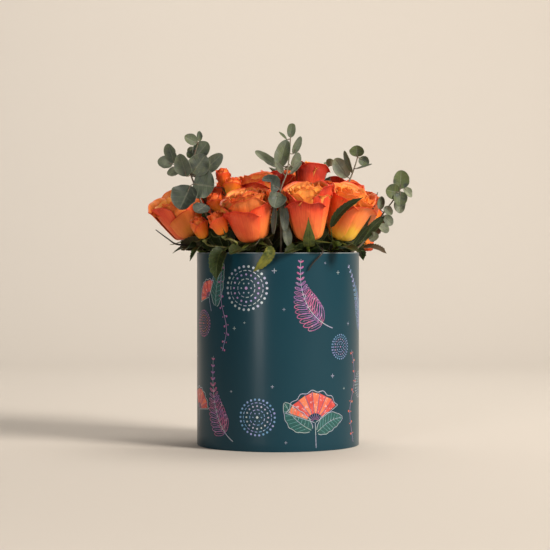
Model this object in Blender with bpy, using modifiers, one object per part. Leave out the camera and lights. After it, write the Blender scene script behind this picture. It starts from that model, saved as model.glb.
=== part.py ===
"""A round rose box: a laminated board drum with a liner and wet foam, filled with roses, spray roses and eucalyptus.

The drum's axis is Z and its foot stands on Z = 0. The side that faces -Y is the front.
Tables of places are in millimetres from the centre of the drum's foot, and everything else is in metres.
"""
from collections import namedtuple
import math

import bmesh
import bpy
import numpy as np
from mathutils import Matrix

MM = 0.001
UP = np.array((0.0, 0.0, 1.0))

# The drum and what it holds
BOX_RADIUS = 0.0875
BOX_HEIGHT = 0.207
BOARD = 0.0025
FIT_GAP = 0.0003
LINER_WALL = 0.0008
FOAM_TOP = 0.186
LINER_TOP = FOAM_TOP + 0.004
DRUM_STEPS = 32

# Stems and their sockets in the foam
STEM_DEPTH = 0.045
STEM_STEPS = 2
FOOT_SPREAD = 0.88
ROSE_STEM = 0.0023
SPRAY_STEM = 0.0016
TWIG_STEM = 0.0014
STALK = 0.0007
SOCKET_GAP = 0.0003

# Blades and hips
PETAL_THICK = 0.0008
LEAF_THICK = 0.0008
HIP_HEIGHT = 0.009
HIP_RADIUS = 0.0052
HIP_GAP = 0.0003
HIP_WAIST = 0.40
HIP_SHARE = 0.95
BLOOM_CLEARANCE = 0.0022
STALK_WIDTH = 0.0014
ROOT_OFFSET = 0.0004

# How a bloom's petals lie: where they start, and how far an edge stands off its neighbour and a rim reaches out
FOOT_START = 0.012
PETAL_STEP = 0.055
FLARE_REACH = 0.30
OUTER_COVER = 252.0
INNER_COVER = 180.0
OPEN_COVER = 168.0
INNER_SHARE = 0.66
INNER_START = 6.0 * FOOT_START

# The slim bud inside a bloom's petals: how high it ends and how wide its waist is, where petals hide it and where
# they don't, as shares of the bloom's length and radius. Small blooms are open: their petals stand side by side,
# because they would cross if they lay over each other
HIDDEN_BUD = (0.93, 0.28)
OPEN_BUD = (0.86, 0.42)

# Other parts of stems
CALYX_WIDTH = 0.17
SMALL_CALYX_WIDTH = 0.20
SMALL_HIP = 0.6
FORK_STEM = 0.0012
TOOTH_OUT, TOOTH_IN = 1.1, 0.9
ROUND_CUP = 0.10
ROSE_LEAF_CUP = 0.16
WIDE_LEAF = 0.0148

# A bloom: the places of its foot and its top, its radius at the rim, the way its first petal faces in degrees from
# the front, how many petals its outer and inner rings have, how far its rim turns out, and the lift of each sepal
Rose = namedtuple("Rose", "name base top radius turn outer inner flare lifts")
ROSES = (
    Rose("left", (-95, -16, 223), (-119, -26, 269), 22.0, -40, 5, 3, 0.35, (0.3, 0.1, 0.0, 0.5, 0.2)),
    Rose("front_left", (-25, -66, 219), (-36, -83, 274), 25.0, 30, 5, 3, 0.25, (0.1, 0.5, 0.2, 0.4, 0.0)),
    Rose("front_right", (32, -66, 219), (30, -80, 281), 23.5, 0, 5, 3, 0.15, (1.1, 0.1, 0.4, 0.3, 0.2)),
    Rose("right_front", (64, -42, 221), (83, -56, 277), 23.5, 40, 5, 3, 0.20, (0.5, 0.2, 0.3, 0.6, 0.4)),
    Rose("right", (84, 10, 224), (94, 14, 276), 20.0, 60, 4, 2, 0.30, (0.6, 0.2, 0.3, 0.1, 0.4)),
    Rose("middle_left", (-21, -14, 240), (-26, -19, 293), 21.0, -25, 4, 2, 0.20, (0.4, 0.1, 0.5, 0.2, 0.3)),
    Rose("middle_right", (32, -20, 258), (36, -18, 306), 15.5, 20, 4, 2, 0.30, (0.2, 0.5, 0.1, 0.4, 0.3)),
    Rose("inner_right", (50, 9, 236), (49, 12, 286), 18.0, 110, 4, 2, 0.20, (0.3, 0.2, 0.4, 0.1, 0.5)),
    Rose("right_back", (68, 50, 232), (77, 58, 288), 20.5, 130, 4, 2, 0.25, (0.4, 0.3, 0.1, 0.2, 0.5)),
    Rose("centre", (4, 20, 246), (4, 22, 298), 21.0, 75, 4, 2, 0.20, (0.2, 0.4, 0.3, 0.5, 0.1)),
    Rose("back_right", (24, 68, 226), (31, 86, 277), 22.0, 170, 4, 2, 0.25, (0.5, 0.3, 0.2, 0.6, 0.1)),
    Rose("back", (-17, 70, 226), (-22, 88, 277), 22.0, 200, 4, 2, 0.25, (0.2, 0.6, 0.3, 0.1, 0.4)),
    Rose("back_left", (-54, 54, 226), (-66, 66, 276), 21.0, 230, 4, 2, 0.25, (0.4, 0.1, 0.5, 0.3, 0.2)),
    Rose("left_back", (-88, 26, 224), (-106, 32, 272), 20.5, 260, 4, 2, 0.30, (0.1, 0.4, 0.2, 0.5, 0.3)),
    Rose("inner_left", (-48, 20, 238), (-50, 23, 288), 19.0, 290, 4, 2, 0.20, (0.5, 0.2, 0.3, 0.1, 0.4)),
)
BUDS = (
    Rose("bud_1", (-57, -74, 226), (-66, -79, 248), 9.6, 10, 3, 0, 0.30, (0.9, 0.5, 0.7)),
    Rose("bud_2", (-62, -38, 251), (-69, -43, 269), 8.8, -30, 3, 0, 0.30, (0.8, 0.4, 0.6)),
    Rose("bud_3", (-57, -28, 277), (-60, -31, 296), 7.5, 20, 3, 0, 0.25, (0.7, 0.8, 0.4)),
    Rose("bud_4", (-49, -43, 266), (-47, -46, 286), 9.0, 0, 3, 0, 0.40, (0.6, 0.4, 0.8)),
    Rose("bud_5", (-78, -50, 222), (-86, -56, 243), 9.0, 40, 3, 0, 0.30, (0.8, 0.6, 0.3)),
    Rose("bud_6", (92, 32, 219), (104, 37, 213), 6.5, 0, 3, 0, 0.35, (0.5, 0.2, 0.7)),
    Rose("bud_7", (98, 44, 238), (108, 52, 258), 9.5, 30, 3, 0, 0.35, (0.4, 0.8, 0.5)),
)


def metres(point):
    """A place in millimetres, as an array in metres."""
    return np.array(point, float) * MM


def unit(vector):
    return vector / np.linalg.norm(vector)


def frame_along(axis, turn_deg):
    """Three unit axes, as columns. The third lies along axis, and the first faces the front, turned towards +X."""
    axis = unit(axis)
    front = unit(np.array((0.0, -1.0, 0.0)) + axis[1] * axis)
    turn = math.radians(turn_deg)
    first = math.cos(turn) * front + math.sin(turn) * np.cross(axis, front)
    return np.column_stack((first, np.cross(axis, first), axis))


def placed(axes, origin):
    """The matrix that carries a frame's own coordinates to the world."""
    return Matrix(np.vstack((np.column_stack((axes, origin)), (0, 0, 0, 1))).tolist())


# Collections and meshes

def new_collection(name):
    made = bpy.data.collections.new(name)
    bpy.context.scene.collection.children.link(made)
    return made


def new_material(name, colour, roughness, metallic=0.0):
    made = bpy.data.materials.new(name)
    made.use_nodes = True
    shader = made.node_tree.nodes["Principled BSDF"]
    shader.inputs["Base Color"].default_value = (*colour, 1.0)
    shader.inputs["Roughness"].default_value = roughness
    shader.inputs["Metallic"].default_value = metallic
    return made


def add_object(name, mesh, collection, material=None):
    obj = bpy.data.objects.new(name, mesh)
    collection.objects.link(obj)
    if material:
        mesh.materials.append(material)
    return obj


def mesh_of(name, bm):
    mesh = bpy.data.meshes.new(name)
    bm.to_mesh(mesh)
    bm.free()
    return mesh


def as_mesh(obj):
    """The evaluated mesh of an object, with a curve's loose caps welded."""
    bpy.context.view_layer.update()
    graph = bpy.context.evaluated_depsgraph_get()
    mesh = bpy.data.meshes.new_from_object(obj.evaluated_get(graph))
    bm = bmesh.new()
    bm.from_mesh(mesh)
    bmesh.ops.remove_doubles(bm, verts=bm.verts, dist=1e-6)
    bm.to_mesh(mesh)
    bm.free()
    return mesh


def turned(name, profile, collection, steps, closed=False):
    """A profile of (radius, height) points turned about Z."""
    mesh = bpy.data.meshes.new(name)
    edges = [(i, i + 1) for i in range(len(profile) - 1)]
    if closed:
        edges.append((len(profile) - 1, 0))
    mesh.from_pydata([(r, 0.0, z) for r, z in profile], edges, [])
    obj = add_object(name, mesh, collection)
    screw = obj.modifiers.new("turn", "SCREW")
    screw.steps = screw.render_steps = steps
    screw.use_merge_vertices = True
    screw.merge_threshold = 1e-5
    return obj


def tube(name, points, radii, collection, sides_level=1):
    """A tube through points, as a mesh with welded caps. radii holds the radius at each point."""
    curve = bpy.data.curves.new(name, "CURVE")
    curve.dimensions = "3D"
    curve.bevel_depth = 1.0
    curve.bevel_resolution = sides_level
    curve.use_fill_caps = True
    spline = curve.splines.new("POLY")
    spline.points.add(len(points) - 1)
    for knot, point, radius in zip(spline.points, points, radii):
        knot.co = (*point, 1.0)
        knot.radius = radius
    guide = bpy.data.objects.new(name, curve)
    collection.objects.link(guide)
    obj = add_object(name + "_tube", as_mesh(guide), collection)
    bpy.data.objects.remove(guide)
    return obj


def shell(name, bm, thickness, collection):
    """An open sheet given its thickness evenly on both sides. It is in triangles first, so both sides split alike."""
    bmesh.ops.triangulate(bm, faces=bm.faces[:])
    obj = add_object(name, mesh_of(name, bm), collection)
    wall = obj.modifiers.new("thickness", "SOLIDIFY")
    wall.thickness = thickness
    wall.offset = 0.0
    return obj


def fused(name, body, pieces, material, home):
    """One solid made of body and every object in the pieces collection, which is then removed."""
    join = body.modifiers.new("join", "BOOLEAN")
    join.operation = "UNION"
    join.operand_type = "COLLECTION"
    join.collection = pieces
    join.solver = "EXACT"
    mesh = as_mesh(body)
    world = body.matrix_world.copy()
    for obj in (*pieces.objects, body):
        bpy.data.objects.remove(obj)
    bpy.data.collections.remove(pieces)
    mesh.transform(world)
    mesh.materials.clear()
    made = add_object(name, mesh, home, material)
    mesh.shade_smooth()
    mesh.set_sharp_from_angle(angle=math.radians(50))
    return made


# The shape of a bloom

def cup_share(t):
    """How wide a bloom's cup is at height t, from 0 at its foot to 1 at its rim, as a share of its radius."""
    bowl = np.sqrt(1.0 - (1.0 - np.clip(t / 0.14, 0.0, 1.0)) ** 2)
    return 0.16 + 0.36 * bowl + 0.48 * np.clip(t / 0.85, 0.0, 1.0)


def rim_roll(t):
    """How far a rim has turned outwards at height t."""
    return np.clip((t - 0.7) / 0.3, 0.0, 1.0) ** 2


def bloom_length(rose):
    return float(np.linalg.norm(metres(rose.top) - metres(rose.base)))


# A ring of petals: how many it has, its size as a share of the bloom's, the degrees that its petals cover on each
# side of their middles when their angles are added up, the height of its foot as a share of the bloom's, and each
# petal's cells across and up
Ring = namedtuple("Ring", "count share cover start cells")


def petal_place(rose, ring, index, u, v):
    """The point of a petal at u across, from -1 to 1, and v up, from 0 to 1, in the bloom's own frame.

    A petal is a strip of the cup. One of its side edges lies outside its neighbour's and the other inside,
    so that petals of a ring overlap without touching, and its rim turns outwards.
    """
    radius = rose.radius * MM
    half_angle = math.radians(ring.cover / ring.count)
    low_rim = 0.15 if index == 0 else 0.05 * (index % 2)
    top = 1.0 - ring.share * low_rim - 0.12 * abs(u) ** 2.6
    t = ring.start + v * v * (top - ring.start)
    angle = 2.0 * math.pi * index / ring.count + u * half_angle * (0.55 + 0.45 * min(1.0, t / 0.25))
    curl = rose.flare * ring.share * rim_roll(t)
    rooted = 0.75 if v == 0.0 else 1.0
    rho = rooted * radius * ring.share * cup_share(t) + PETAL_STEP * radius * u + FLARE_REACH * radius * curl
    return np.array((rho * math.cos(angle), rho * math.sin(angle), bloom_length(rose) * (t - 0.05 * curl)))


def bloom_frame(rose):
    return frame_along(metres(rose.top) - metres(rose.base), rose.turn)


def petal_ring(rose, ring, collection):
    """A ring of petals that grow from one small disc: a single sheet. Each petal has a narrow foot of two corners."""
    columns, rows = ring.cells
    bm = bmesh.new()
    middle = bm.verts.new((0.0, 0.0, ring.start * bloom_length(rose)))
    feet = []
    for index in range(ring.count):
        def corner(u, v):
            return bm.verts.new(petal_place(rose, ring, index, u, v))
        left, right = corner(-1.0, 0.0), corner(1.0, 0.0)
        net = [[corner(2.0 * i / columns - 1.0, j / rows) for i in range(columns + 1)] for j in range(1, rows + 1)]
        low, half = net[0], columns // 2
        for i in range(half):
            bm.faces.new((left, low[i + 1], low[i]))
            bm.faces.new((right, low[columns - i], low[columns - i - 1]))
        bm.faces.new((left, right, low[half]) if columns % 2 == 0 else (left, right, low[half + 1], low[half]))
        for low, high in zip(net, net[1:]):
            for i in range(columns):
                bm.faces.new((low[i], low[i + 1], high[i + 1], high[i]))
        feet.extend((left, right))
    for first, second in zip(feet, feet[1:] + feet[:1]):
        bm.faces.new((middle, second, first))
    return shell("petals", bm, PETAL_THICK, collection)


def bloom(rose, outer_cells, inner_cells, home, material):
    """A rose: rings of petals about a slim bud."""
    length, radius = bloom_length(rose), rose.radius * MM
    to_world = placed(bloom_frame(rose), metres(rose.base))
    bud_top, waist = HIDDEN_BUD if rose.inner else OPEN_BUD
    profile = ((0.0, bud_top * length), (waist * radius, 0.62 * length), (0.15 * radius, 0.12 * length),
               (0.12 * radius, FOOT_START * length), (0.0, FOOT_START * length))
    work = new_collection("petals")
    body = turned("bud", profile, bpy.context.scene.collection, 6)
    body.matrix_world = to_world
    cover = OUTER_COVER if rose.inner else OPEN_COVER
    rings = [Ring(rose.outer, 1.0, cover, FOOT_START, outer_cells)]
    if rose.inner:
        rings.append(Ring(rose.inner, INNER_SHARE, INNER_COVER, INNER_START, inner_cells))
    for ring in rings:
        petal_ring(rose, ring, work).matrix_world = to_world
    return fused(rose.name + ("" if rose in BUDS else "_rose"), body, work, material, home)


# Leaves and sepals

def bent_clear(point, spare):
    """The point, moved straight out of any bloom's cup that it would lie in or within spare of."""
    for _ in range(3):
        for rose in ROSES + BUDS:
            base, top = metres(rose.base), metres(rose.top)
            span = top - base
            t = float((point - base) @ span / (span @ span))
            if not -0.06 < t < 1.07:
                continue
            away = point - base - t * span
            reach = np.linalg.norm(away)
            inside = min(max(t, 0.0), 1.0)
            share = cup_share(inside) + PETAL_STEP + FLARE_REACH * rose.flare * rim_roll(inside)
            limit = rose.radius * MM * float(share) + spare
            if reach < limit:
                point = point + away / reach * (limit - reach)
    return point


def face_vector(yaw_deg, pitch_deg):
    """The way a leaf faces: yaw 0 is the front, -Y, and grows towards +X. Pitch is upwards."""
    yaw, pitch = math.radians(yaw_deg), math.radians(pitch_deg)
    return np.array((math.sin(yaw) * math.cos(pitch), -math.cos(yaw) * math.cos(pitch), math.sin(pitch)))


def midrib(start, bend, tip, b):
    """The point and the direction of a leaf's midrib at b, from 0 to 1: a quadratic arc pulled towards bend."""
    point = (1 - b) ** 2 * start + 2 * b * (1 - b) * bend + b * b * tip
    along = 2 * (1 - b) * (bend - start) + 2 * b * (tip - bend)
    return point, unit(along)


def leaf_point(start, bend, tip, width, face, cup, a, b):
    """The point of a leaf at a across, in half widths, and b along its midrib. cup lifts its sides."""
    point, along = midrib(start, bend, tip, b)
    side = unit(np.cross(along, face))
    normal = np.cross(side, along)
    return point + side * a * 0.5 * width + normal * cup * width * a * a


def round_leaf(root, start, tip, width, face, collection):
    """A round eucalyptus leaf, fanned about its middle, with a narrow stalk of the same sheet back to root."""
    bend = 0.5 * (start + tip) - face * 0.08 * np.linalg.norm(tip - start)
    sides = 8 if width > WIDE_LEAF else 6
    bm = bmesh.new()

    def corner(across, b):
        place = leaf_point(start, bend, tip, width, face, ROUND_CUP, across, b)
        return bm.verts.new(bent_clear(place, BLOOM_CLEARANCE))

    side = unit(np.cross(tip - start, face)) * 0.5 * STALK_WIDTH
    middle = corner(0.0, 0.5)
    rim = [corner(math.sin(2 * math.pi * i / sides), 0.5 - 0.5 * math.cos(2 * math.pi * i / sides))
           for i in range(1, sides)]
    neck = [bm.verts.new(start + side * way) for way in (-1.0, 1.0)]
    rim = [neck[1], *rim, neck[0]]
    for first, second in zip(rim, rim[1:]):
        bm.faces.new((middle, first, second))
    bm.faces.new((middle, neck[0], neck[1]))
    ends = [bm.verts.new(root + side * way) for way in (-1.0, 1.0)]
    bm.faces.new((neck[0], ends[0], ends[1], neck[1]))
    return shell("leaf", bm, LEAF_THICK, collection)


def toothed_leaf(stalk_places, bend, tip, width, face, collection, rows=4):
    """A rose leaf: pointed, folded a little along its midrib, with teeth on its edge, and a stalk to its foot."""
    root = stalk_places[-1]
    bm = bmesh.new()
    side = unit(np.cross(root - stalk_places[0], face)) * 0.5 * STALK_WIDTH
    net = [[bm.verts.new(place + side * u) for u in (-1.0, 1.0)] for place in stalk_places[:-1]]
    for row in range(rows + 1):
        v = row / rows
        swell = math.sin(math.pi * (0.06 + 0.86 * v ** 0.85)) ** 0.8
        half = swell * (TOOTH_OUT if row % 2 else TOOTH_IN) if 0 < row < rows else STALK_WIDTH / width
        across = (-1.0, 1.0) if row == 0 else (-1.0, 0.0, 1.0)
        points = [leaf_point(root, bend, tip, width, face, ROSE_LEAF_CUP, u * half, v) for u in across]
        net.append([bm.verts.new(bent_clear(p, BLOOM_CLEARANCE) if row else p) for p in points])
    for low, high in zip(net, net[1:]):
        if len(low) < len(high):
            bm.faces.new((low[0], high[1], high[0]))
            bm.faces.new((low[0], low[1], high[1]))
            bm.faces.new((low[1], high[2], high[1]))
        else:
            for i in range(len(low) - 1):
                bm.faces.new((low[i], low[i + 1], high[i + 1], high[i]))
    return shell("leaf", bm, LEAF_THICK, collection)


def nearest_on(route, point):
    """The place nearest to point on a route of straight runs."""
    best = None
    for first, second in zip(route[:-1], route[1:]):
        run = second - first
        share = min(max(float((point - first) @ run / (run @ run)), 0.0), 1.0)
        place = first + share * run
        if best is None or np.linalg.norm(place - point) < np.linalg.norm(best - point):
            best = place
    return best


def stalk(points, collection, radius=STALK):
    """A thin stalk or tendril that tapers to its end."""
    radii = np.linspace(radius, 0.7 * radius, len(points))
    return tube("stalk", points, radii, collection, 0)


def foot_of(entry):
    """The lowest point of a stem that enters the foam at entry, which is on the foam's top."""
    return np.array((entry[0] * FOOT_SPREAD, entry[1] * FOOT_SPREAD, FOAM_TOP - STEM_DEPTH))


def arc_to_hip(entry, hip, axis, low_pull, high_pull):
    """A stem's free run: it leaves the foam in line with its foot and meets the hip along the bloom's axis."""
    low = entry + unit(entry - foot_of(entry)) * low_pull
    high = hip - axis * high_pull
    run = []
    for step in range(1, STEM_STEPS + 1):
        s = step / STEM_STEPS
        run.append((1 - s) ** 3 * entry + 3 * s * (1 - s) ** 2 * low + 3 * s * s * (1 - s) * high + s ** 3 * hip)
    return run


# The box, its liner and the foam

def drum_wall(home, material):
    """The drum's printed wall, which stands on its cut edge."""
    inner = BOX_RADIUS - BOARD
    profile = ((BOX_RADIUS, BOX_HEIGHT), (BOX_RADIUS, 0.0), (inner, 0.0), (inner, BOX_HEIGHT))
    wall = turned("box_wall", profile, home, DRUM_STEPS, closed=True)
    wall.data.materials.append(material)


def drum_foot(home, material):
    """The round board that closes the drum."""
    radius = BOX_RADIUS - BOARD - FIT_GAP
    profile = ((0.0, BOARD), (radius, BOARD), (radius, 0.0), (0.0, 0.0))
    foot = turned("box_foot", profile, home, DRUM_STEPS)
    foot.data.materials.append(material)


def drum_liner(home, material):
    """The waterproof cup that keeps the foam's water off the board."""
    outer = BOX_RADIUS - BOARD - FIT_GAP
    low = BOARD + FIT_GAP
    inner = outer - LINER_WALL
    profile = ((0.0, low + LINER_WALL), (inner, low + LINER_WALL), (inner, LINER_TOP), (outer, LINER_TOP),
               (outer, low), (0.0, low))
    liner = turned("liner", profile, home, DRUM_STEPS)
    liner.data.materials.append(material)


def foam_block(home, material, stems):
    """The wet foam, with a plain socket for each stem, given as (entry, stem radius)."""
    radius = BOX_RADIUS - BOARD - 2 * FIT_GAP - LINER_WALL
    low = BOARD + 2 * FIT_GAP + LINER_WALL
    profile = ((0.0, FOAM_TOP), (radius, FOAM_TOP), (radius, low), (0.0, low))
    cutters = new_collection("cutters")
    for entry, stem_radius in stems:
        foot = foot_of(entry)
        down = unit(foot - entry)
        bottom, mouth = foot + down * SOCKET_GAP, entry - down * 0.01
        sides_level = 1 if stem_radius == ROSE_STEM else 0
        bore = (stem_radius + SOCKET_GAP) / math.cos(math.pi / (4 + 2 * sides_level))
        socket = tube("socket", [mouth, bottom], [bore, bore], cutters, sides_level)
        socket.hide_render = True
        socket.display_type = "WIRE"
    block = turned("foam", profile, home, DRUM_STEPS)
    cut = block.modifiers.new("sockets", "BOOLEAN")
    cut.operation = "DIFFERENCE"
    cut.operand_type = "COLLECTION"
    cut.collection = cutters
    block.data.materials.append(material)


# Rose stems

# A stem enters the foam at this share of its bloom's distance from the axis. The inner roses stand more upright
ENTRY_SHARE = 0.62
INNER_ENTRY_SHARES = {"middle_left": 0.8, "middle_right": 0.75, "inner_right": 0.7, "centre": 0.8, "inner_left": 0.7}
# Each leaf of a rose stem: its stalk's places, the point that its midrib bends towards, its tip, its width and face
RoseLeaf = namedtuple("RoseLeaf", "stalk bend tip width yaw pitch")
ROSE_LEAVES = {
    "front_left": (
        RoseLeaf(((-40, -60, 206), (-50, -70, 213), (-56, -74, 209)), (-64, -80, 208), (-64, -92, 178), 16, -30, 10),
        RoseLeaf(((-20, -62, 206), (-18, -76, 212), (-12, -92, 213)), (-2, -98, 207), (-26, -92, 187), 11, 20, 20),
        RoseLeaf(((-26, -56, 209), (-34, -72, 210)), (-42, -90, 212), (-50, -97, 205), 15, -10, 40),
    ),
    "left": (
        RoseLeaf(((-80, -14, 214), (-80, -52, 214)), (-84, -68, 214), (-92, -74, 198), 9, -50, 40),
        RoseLeaf(((-76, -14, 211), (-88, -34, 212)), (-94, -52, 214), (-98, -68, 209), 15, -40, 30),
    ),
    "front_right": (RoseLeaf(((28, -60, 210), (22, -74, 211)), (18, -88, 213), (6, -100, 206), 11, 10, 40),),
    "right_front": (
        RoseLeaf(((58, -50, 214), (55, -70, 232)), (60, -84, 252), (88, -84, 264), 9, 20, 30),
        RoseLeaf(((56, -44, 209), (64, -66, 211)), (72, -80, 213), (84, -84, 208), 14, 40, 40),
    ),
    "right": (
        RoseLeaf(((88, 0, 214), (96, -8, 222)), (106, -9, 229), (119, -6, 249), 10, 20, -20),
        RoseLeaf(((78, 2, 211), (90, -12, 212)), (104, -18, 214), (116, -20, 206), 13, 40, 50),
    ),
    "right_back": (RoseLeaf(((76, 62, 212), (82, 66, 215)), (92, 76, 214), (96, 82, 198), 14, 150, 40),),
    "back": (
        RoseLeaf(((-24, 78, 212), (-28, 88, 214)), (-34, 100, 212), (-38, 100, 192), 15, 190, 30),
        RoseLeaf(((-10, 62, 210), (-2, 80, 211)), (4, 96, 213), (4, 108, 206), 15, 180, 40),
    ),
    "back_left": (RoseLeaf(((-62, 62, 212), (-70, 68, 214)), (-80, 78, 212), (-84, 78, 192), 15, 220, 30),),
    "left_back": (RoseLeaf(((-92, 14, 213),), (-102, 8, 214), (-114, 4, 206), 14, -80, 40),),
    "back_right": (RoseLeaf(((40, 74, 212), (46, 82, 214)), (54, 92, 213), (60, 92, 194), 14, 165, 35),),
}
TENDRILS = {
    "front_right": (((28, -56, 208), (42, -68, 212), (46, -80, 207), (38, -82, 197), (31, -84, 188)),),
    "left": (((-82, -14, 213), (-98, -40, 215), (-108, -46, 216), (-117, -48, 222), (-129, -50, 231)),),
}


def rose_entry(rose):
    share = INNER_ENTRY_SHARES.get(rose.name, ENTRY_SHARE)
    return np.array((rose.base[0] * MM * share, rose.base[1] * MM * share, FOAM_TOP))


def calyx(rose, axes, reach, half_width, collection):
    """The green star of sepals that tops a hip, each with its own lift: 0 lies out flat and 1 hugs the cup."""
    count = len(rose.lifts)
    radius, length = rose.radius * MM, bloom_length(rose)
    level = -HIP_GAP - 0.5 * LEAF_THICK
    bm = bmesh.new()

    def corner(angle, across, rho, z):
        out = np.array((math.cos(angle), math.sin(angle), 0.0))
        side = np.array((-math.sin(angle), math.cos(angle), 0.0))
        return bm.verts.new(metres(rose.base) + axes @ (out * rho + side * across + UP * z))

    middle = corner(0.0, 0.0, 0.0, level)
    half = math.pi / count
    valleys = [corner(2.0 * half * (index - 0.5), 0.0, reach, level - 0.0002) for index in range(count)]
    for index, lift in enumerate(rose.lifts):
        angle = 2.0 * half * index
        left, right = valleys[index], valleys[(index + 1) % count]
        mid_rho = 0.52 * radius + 0.0025 + 0.0015 * lift
        mid_z = 0.001 * lift + level * (1.0 - lift)
        tip_rho = radius * (1.0 - 0.16 * lift) + 0.002
        tip_z = length * (0.50 * lift - 0.07)
        low = corner(angle, -half_width, mid_rho, mid_z)
        high = corner(angle, half_width, mid_rho, mid_z)
        tip = corner(angle, 0.0, tip_rho, tip_z)
        bm.faces.new((middle, left, right))
        bm.faces.new((left, low, high, right))
        bm.faces.new((low, tip, high))
    shell("calyx", bm, LEAF_THICK, collection)


def hip_run(rose, axes, radius, height):
    """The end of a stem's run as it swells into the hip, as places and radii."""
    top = metres(rose.base) - axes[:, 2] * (HIP_GAP + 0.5 * LEAF_THICK)
    return [top - axes[:, 2] * height * HIP_WAIST, top], [radius * HIP_SHARE] * 2


def rose_stem(rose, home, material):
    """A rose's stem, hip, calyx and leaves in one piece."""
    axes = bloom_frame(rose)
    entry = rose_entry(rose)
    hip_foot = metres(rose.base) - axes[:, 2] * (HIP_GAP + HIP_HEIGHT)
    low_pull = 0.35 * np.linalg.norm(hip_foot - entry)
    high_pull = 0.25 * low_pull + 0.003
    route = [foot_of(entry), entry, *arc_to_hip(entry, hip_foot, axes[:, 2], low_pull, high_pull)]
    swell, radii = hip_run(rose, axes, HIP_RADIUS, HIP_HEIGHT)
    body = tube("stem", route + swell, [ROSE_STEM] * len(route) + radii, bpy.context.scene.collection)
    work = new_collection("green")
    calyx(rose, axes, HIP_RADIUS * 1.2, CALYX_WIDTH * rose.radius * MM, work)
    for leaf in ROSE_LEAVES.get(rose.name, ()):
        places = [metres(p) for p in leaf.stalk]
        toothed_leaf([nearest_on(route, places[0]), *places], metres(leaf.bend), metres(leaf.tip), leaf.width * MM,
                     face_vector(leaf.yaw, leaf.pitch), work)
    for places in TENDRILS.get(rose.name, ()):
        stalk([nearest_on(route, metres(places[0])), *(metres(p) for p in places)], work)
    fused(rose.name + "_stem", body, work, material, home)
    return entry, ROSE_STEM


# Spray roses: a forked stem that carries several small blooms

# A fork leaves the stem near its first place and passes the others to the hip of its bud
Spray = namedtuple("Spray", "name entry route forks")
SPRAYS = (
    Spray("left_spray", (-34, -42), ((-44, -50, 210), (-54, -42, 228), (-54, -34, 246), (-54, -32, 260)),
          ((0, ((-43, -52, 211), (-43, -80, 217), (-51, -80, 221))), (1, ((-54, -34, 243),)),
           (2, ((-54, -31, 262), (-55, -28, 268))), (3, ((-54, -34, 246), (-51, -40, 256))),
           (4, ((-46, -50, 211), (-70, -46, 214))))),
    Spray("right_spray", (60, 26), ((78, 31, 211), (86, 36, 218)),
          ((5, ((78, 31, 211), (81, 30, 219))), (6, ((86, 36, 218), (94, 41, 228))))),
)


def spray_stem(spray, home, material):
    """A spray's stem: one run from the foam, and a thinner fork to the hip of each bud."""
    entry = np.array((spray.entry[0] * MM, spray.entry[1] * MM, FOAM_TOP))
    route = [foot_of(entry), entry, *(metres(p) for p in spray.route)]
    work = new_collection("green")
    body = tube("stem", route, np.linspace(SPRAY_STEM, 0.7 * SPRAY_STEM, len(route)), bpy.context.scene.collection)
    for number, places in spray.forks:
        rose = BUDS[number]
        axes = bloom_frame(rose)
        swell, radii = hip_run(rose, axes, SMALL_HIP * HIP_RADIUS, SMALL_HIP * HIP_HEIGHT)
        first = nearest_on(route, metres(places[0]))
        hip_foot = metres(rose.base) - axes[:, 2] * (HIP_GAP + 0.7 * HIP_HEIGHT)
        run = [first, *(metres(p) for p in places[1:]), hip_foot]
        tube("fork", run + swell, [FORK_STEM] * len(run) + radii, work, 0)
        calyx(rose, axes, HIP_RADIUS * 0.8, SMALL_CALYX_WIDTH * rose.radius * MM, work)
    fused(spray.name, body, work, material, home)
    return entry, SPRAY_STEM


# Eucalyptus: each branch is a stem with leaves

# A leaf: where its blade starts, its tip, its width, and the yaw and pitch of its face
Leaf = namedtuple("Leaf", "start tip width yaw pitch")
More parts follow.
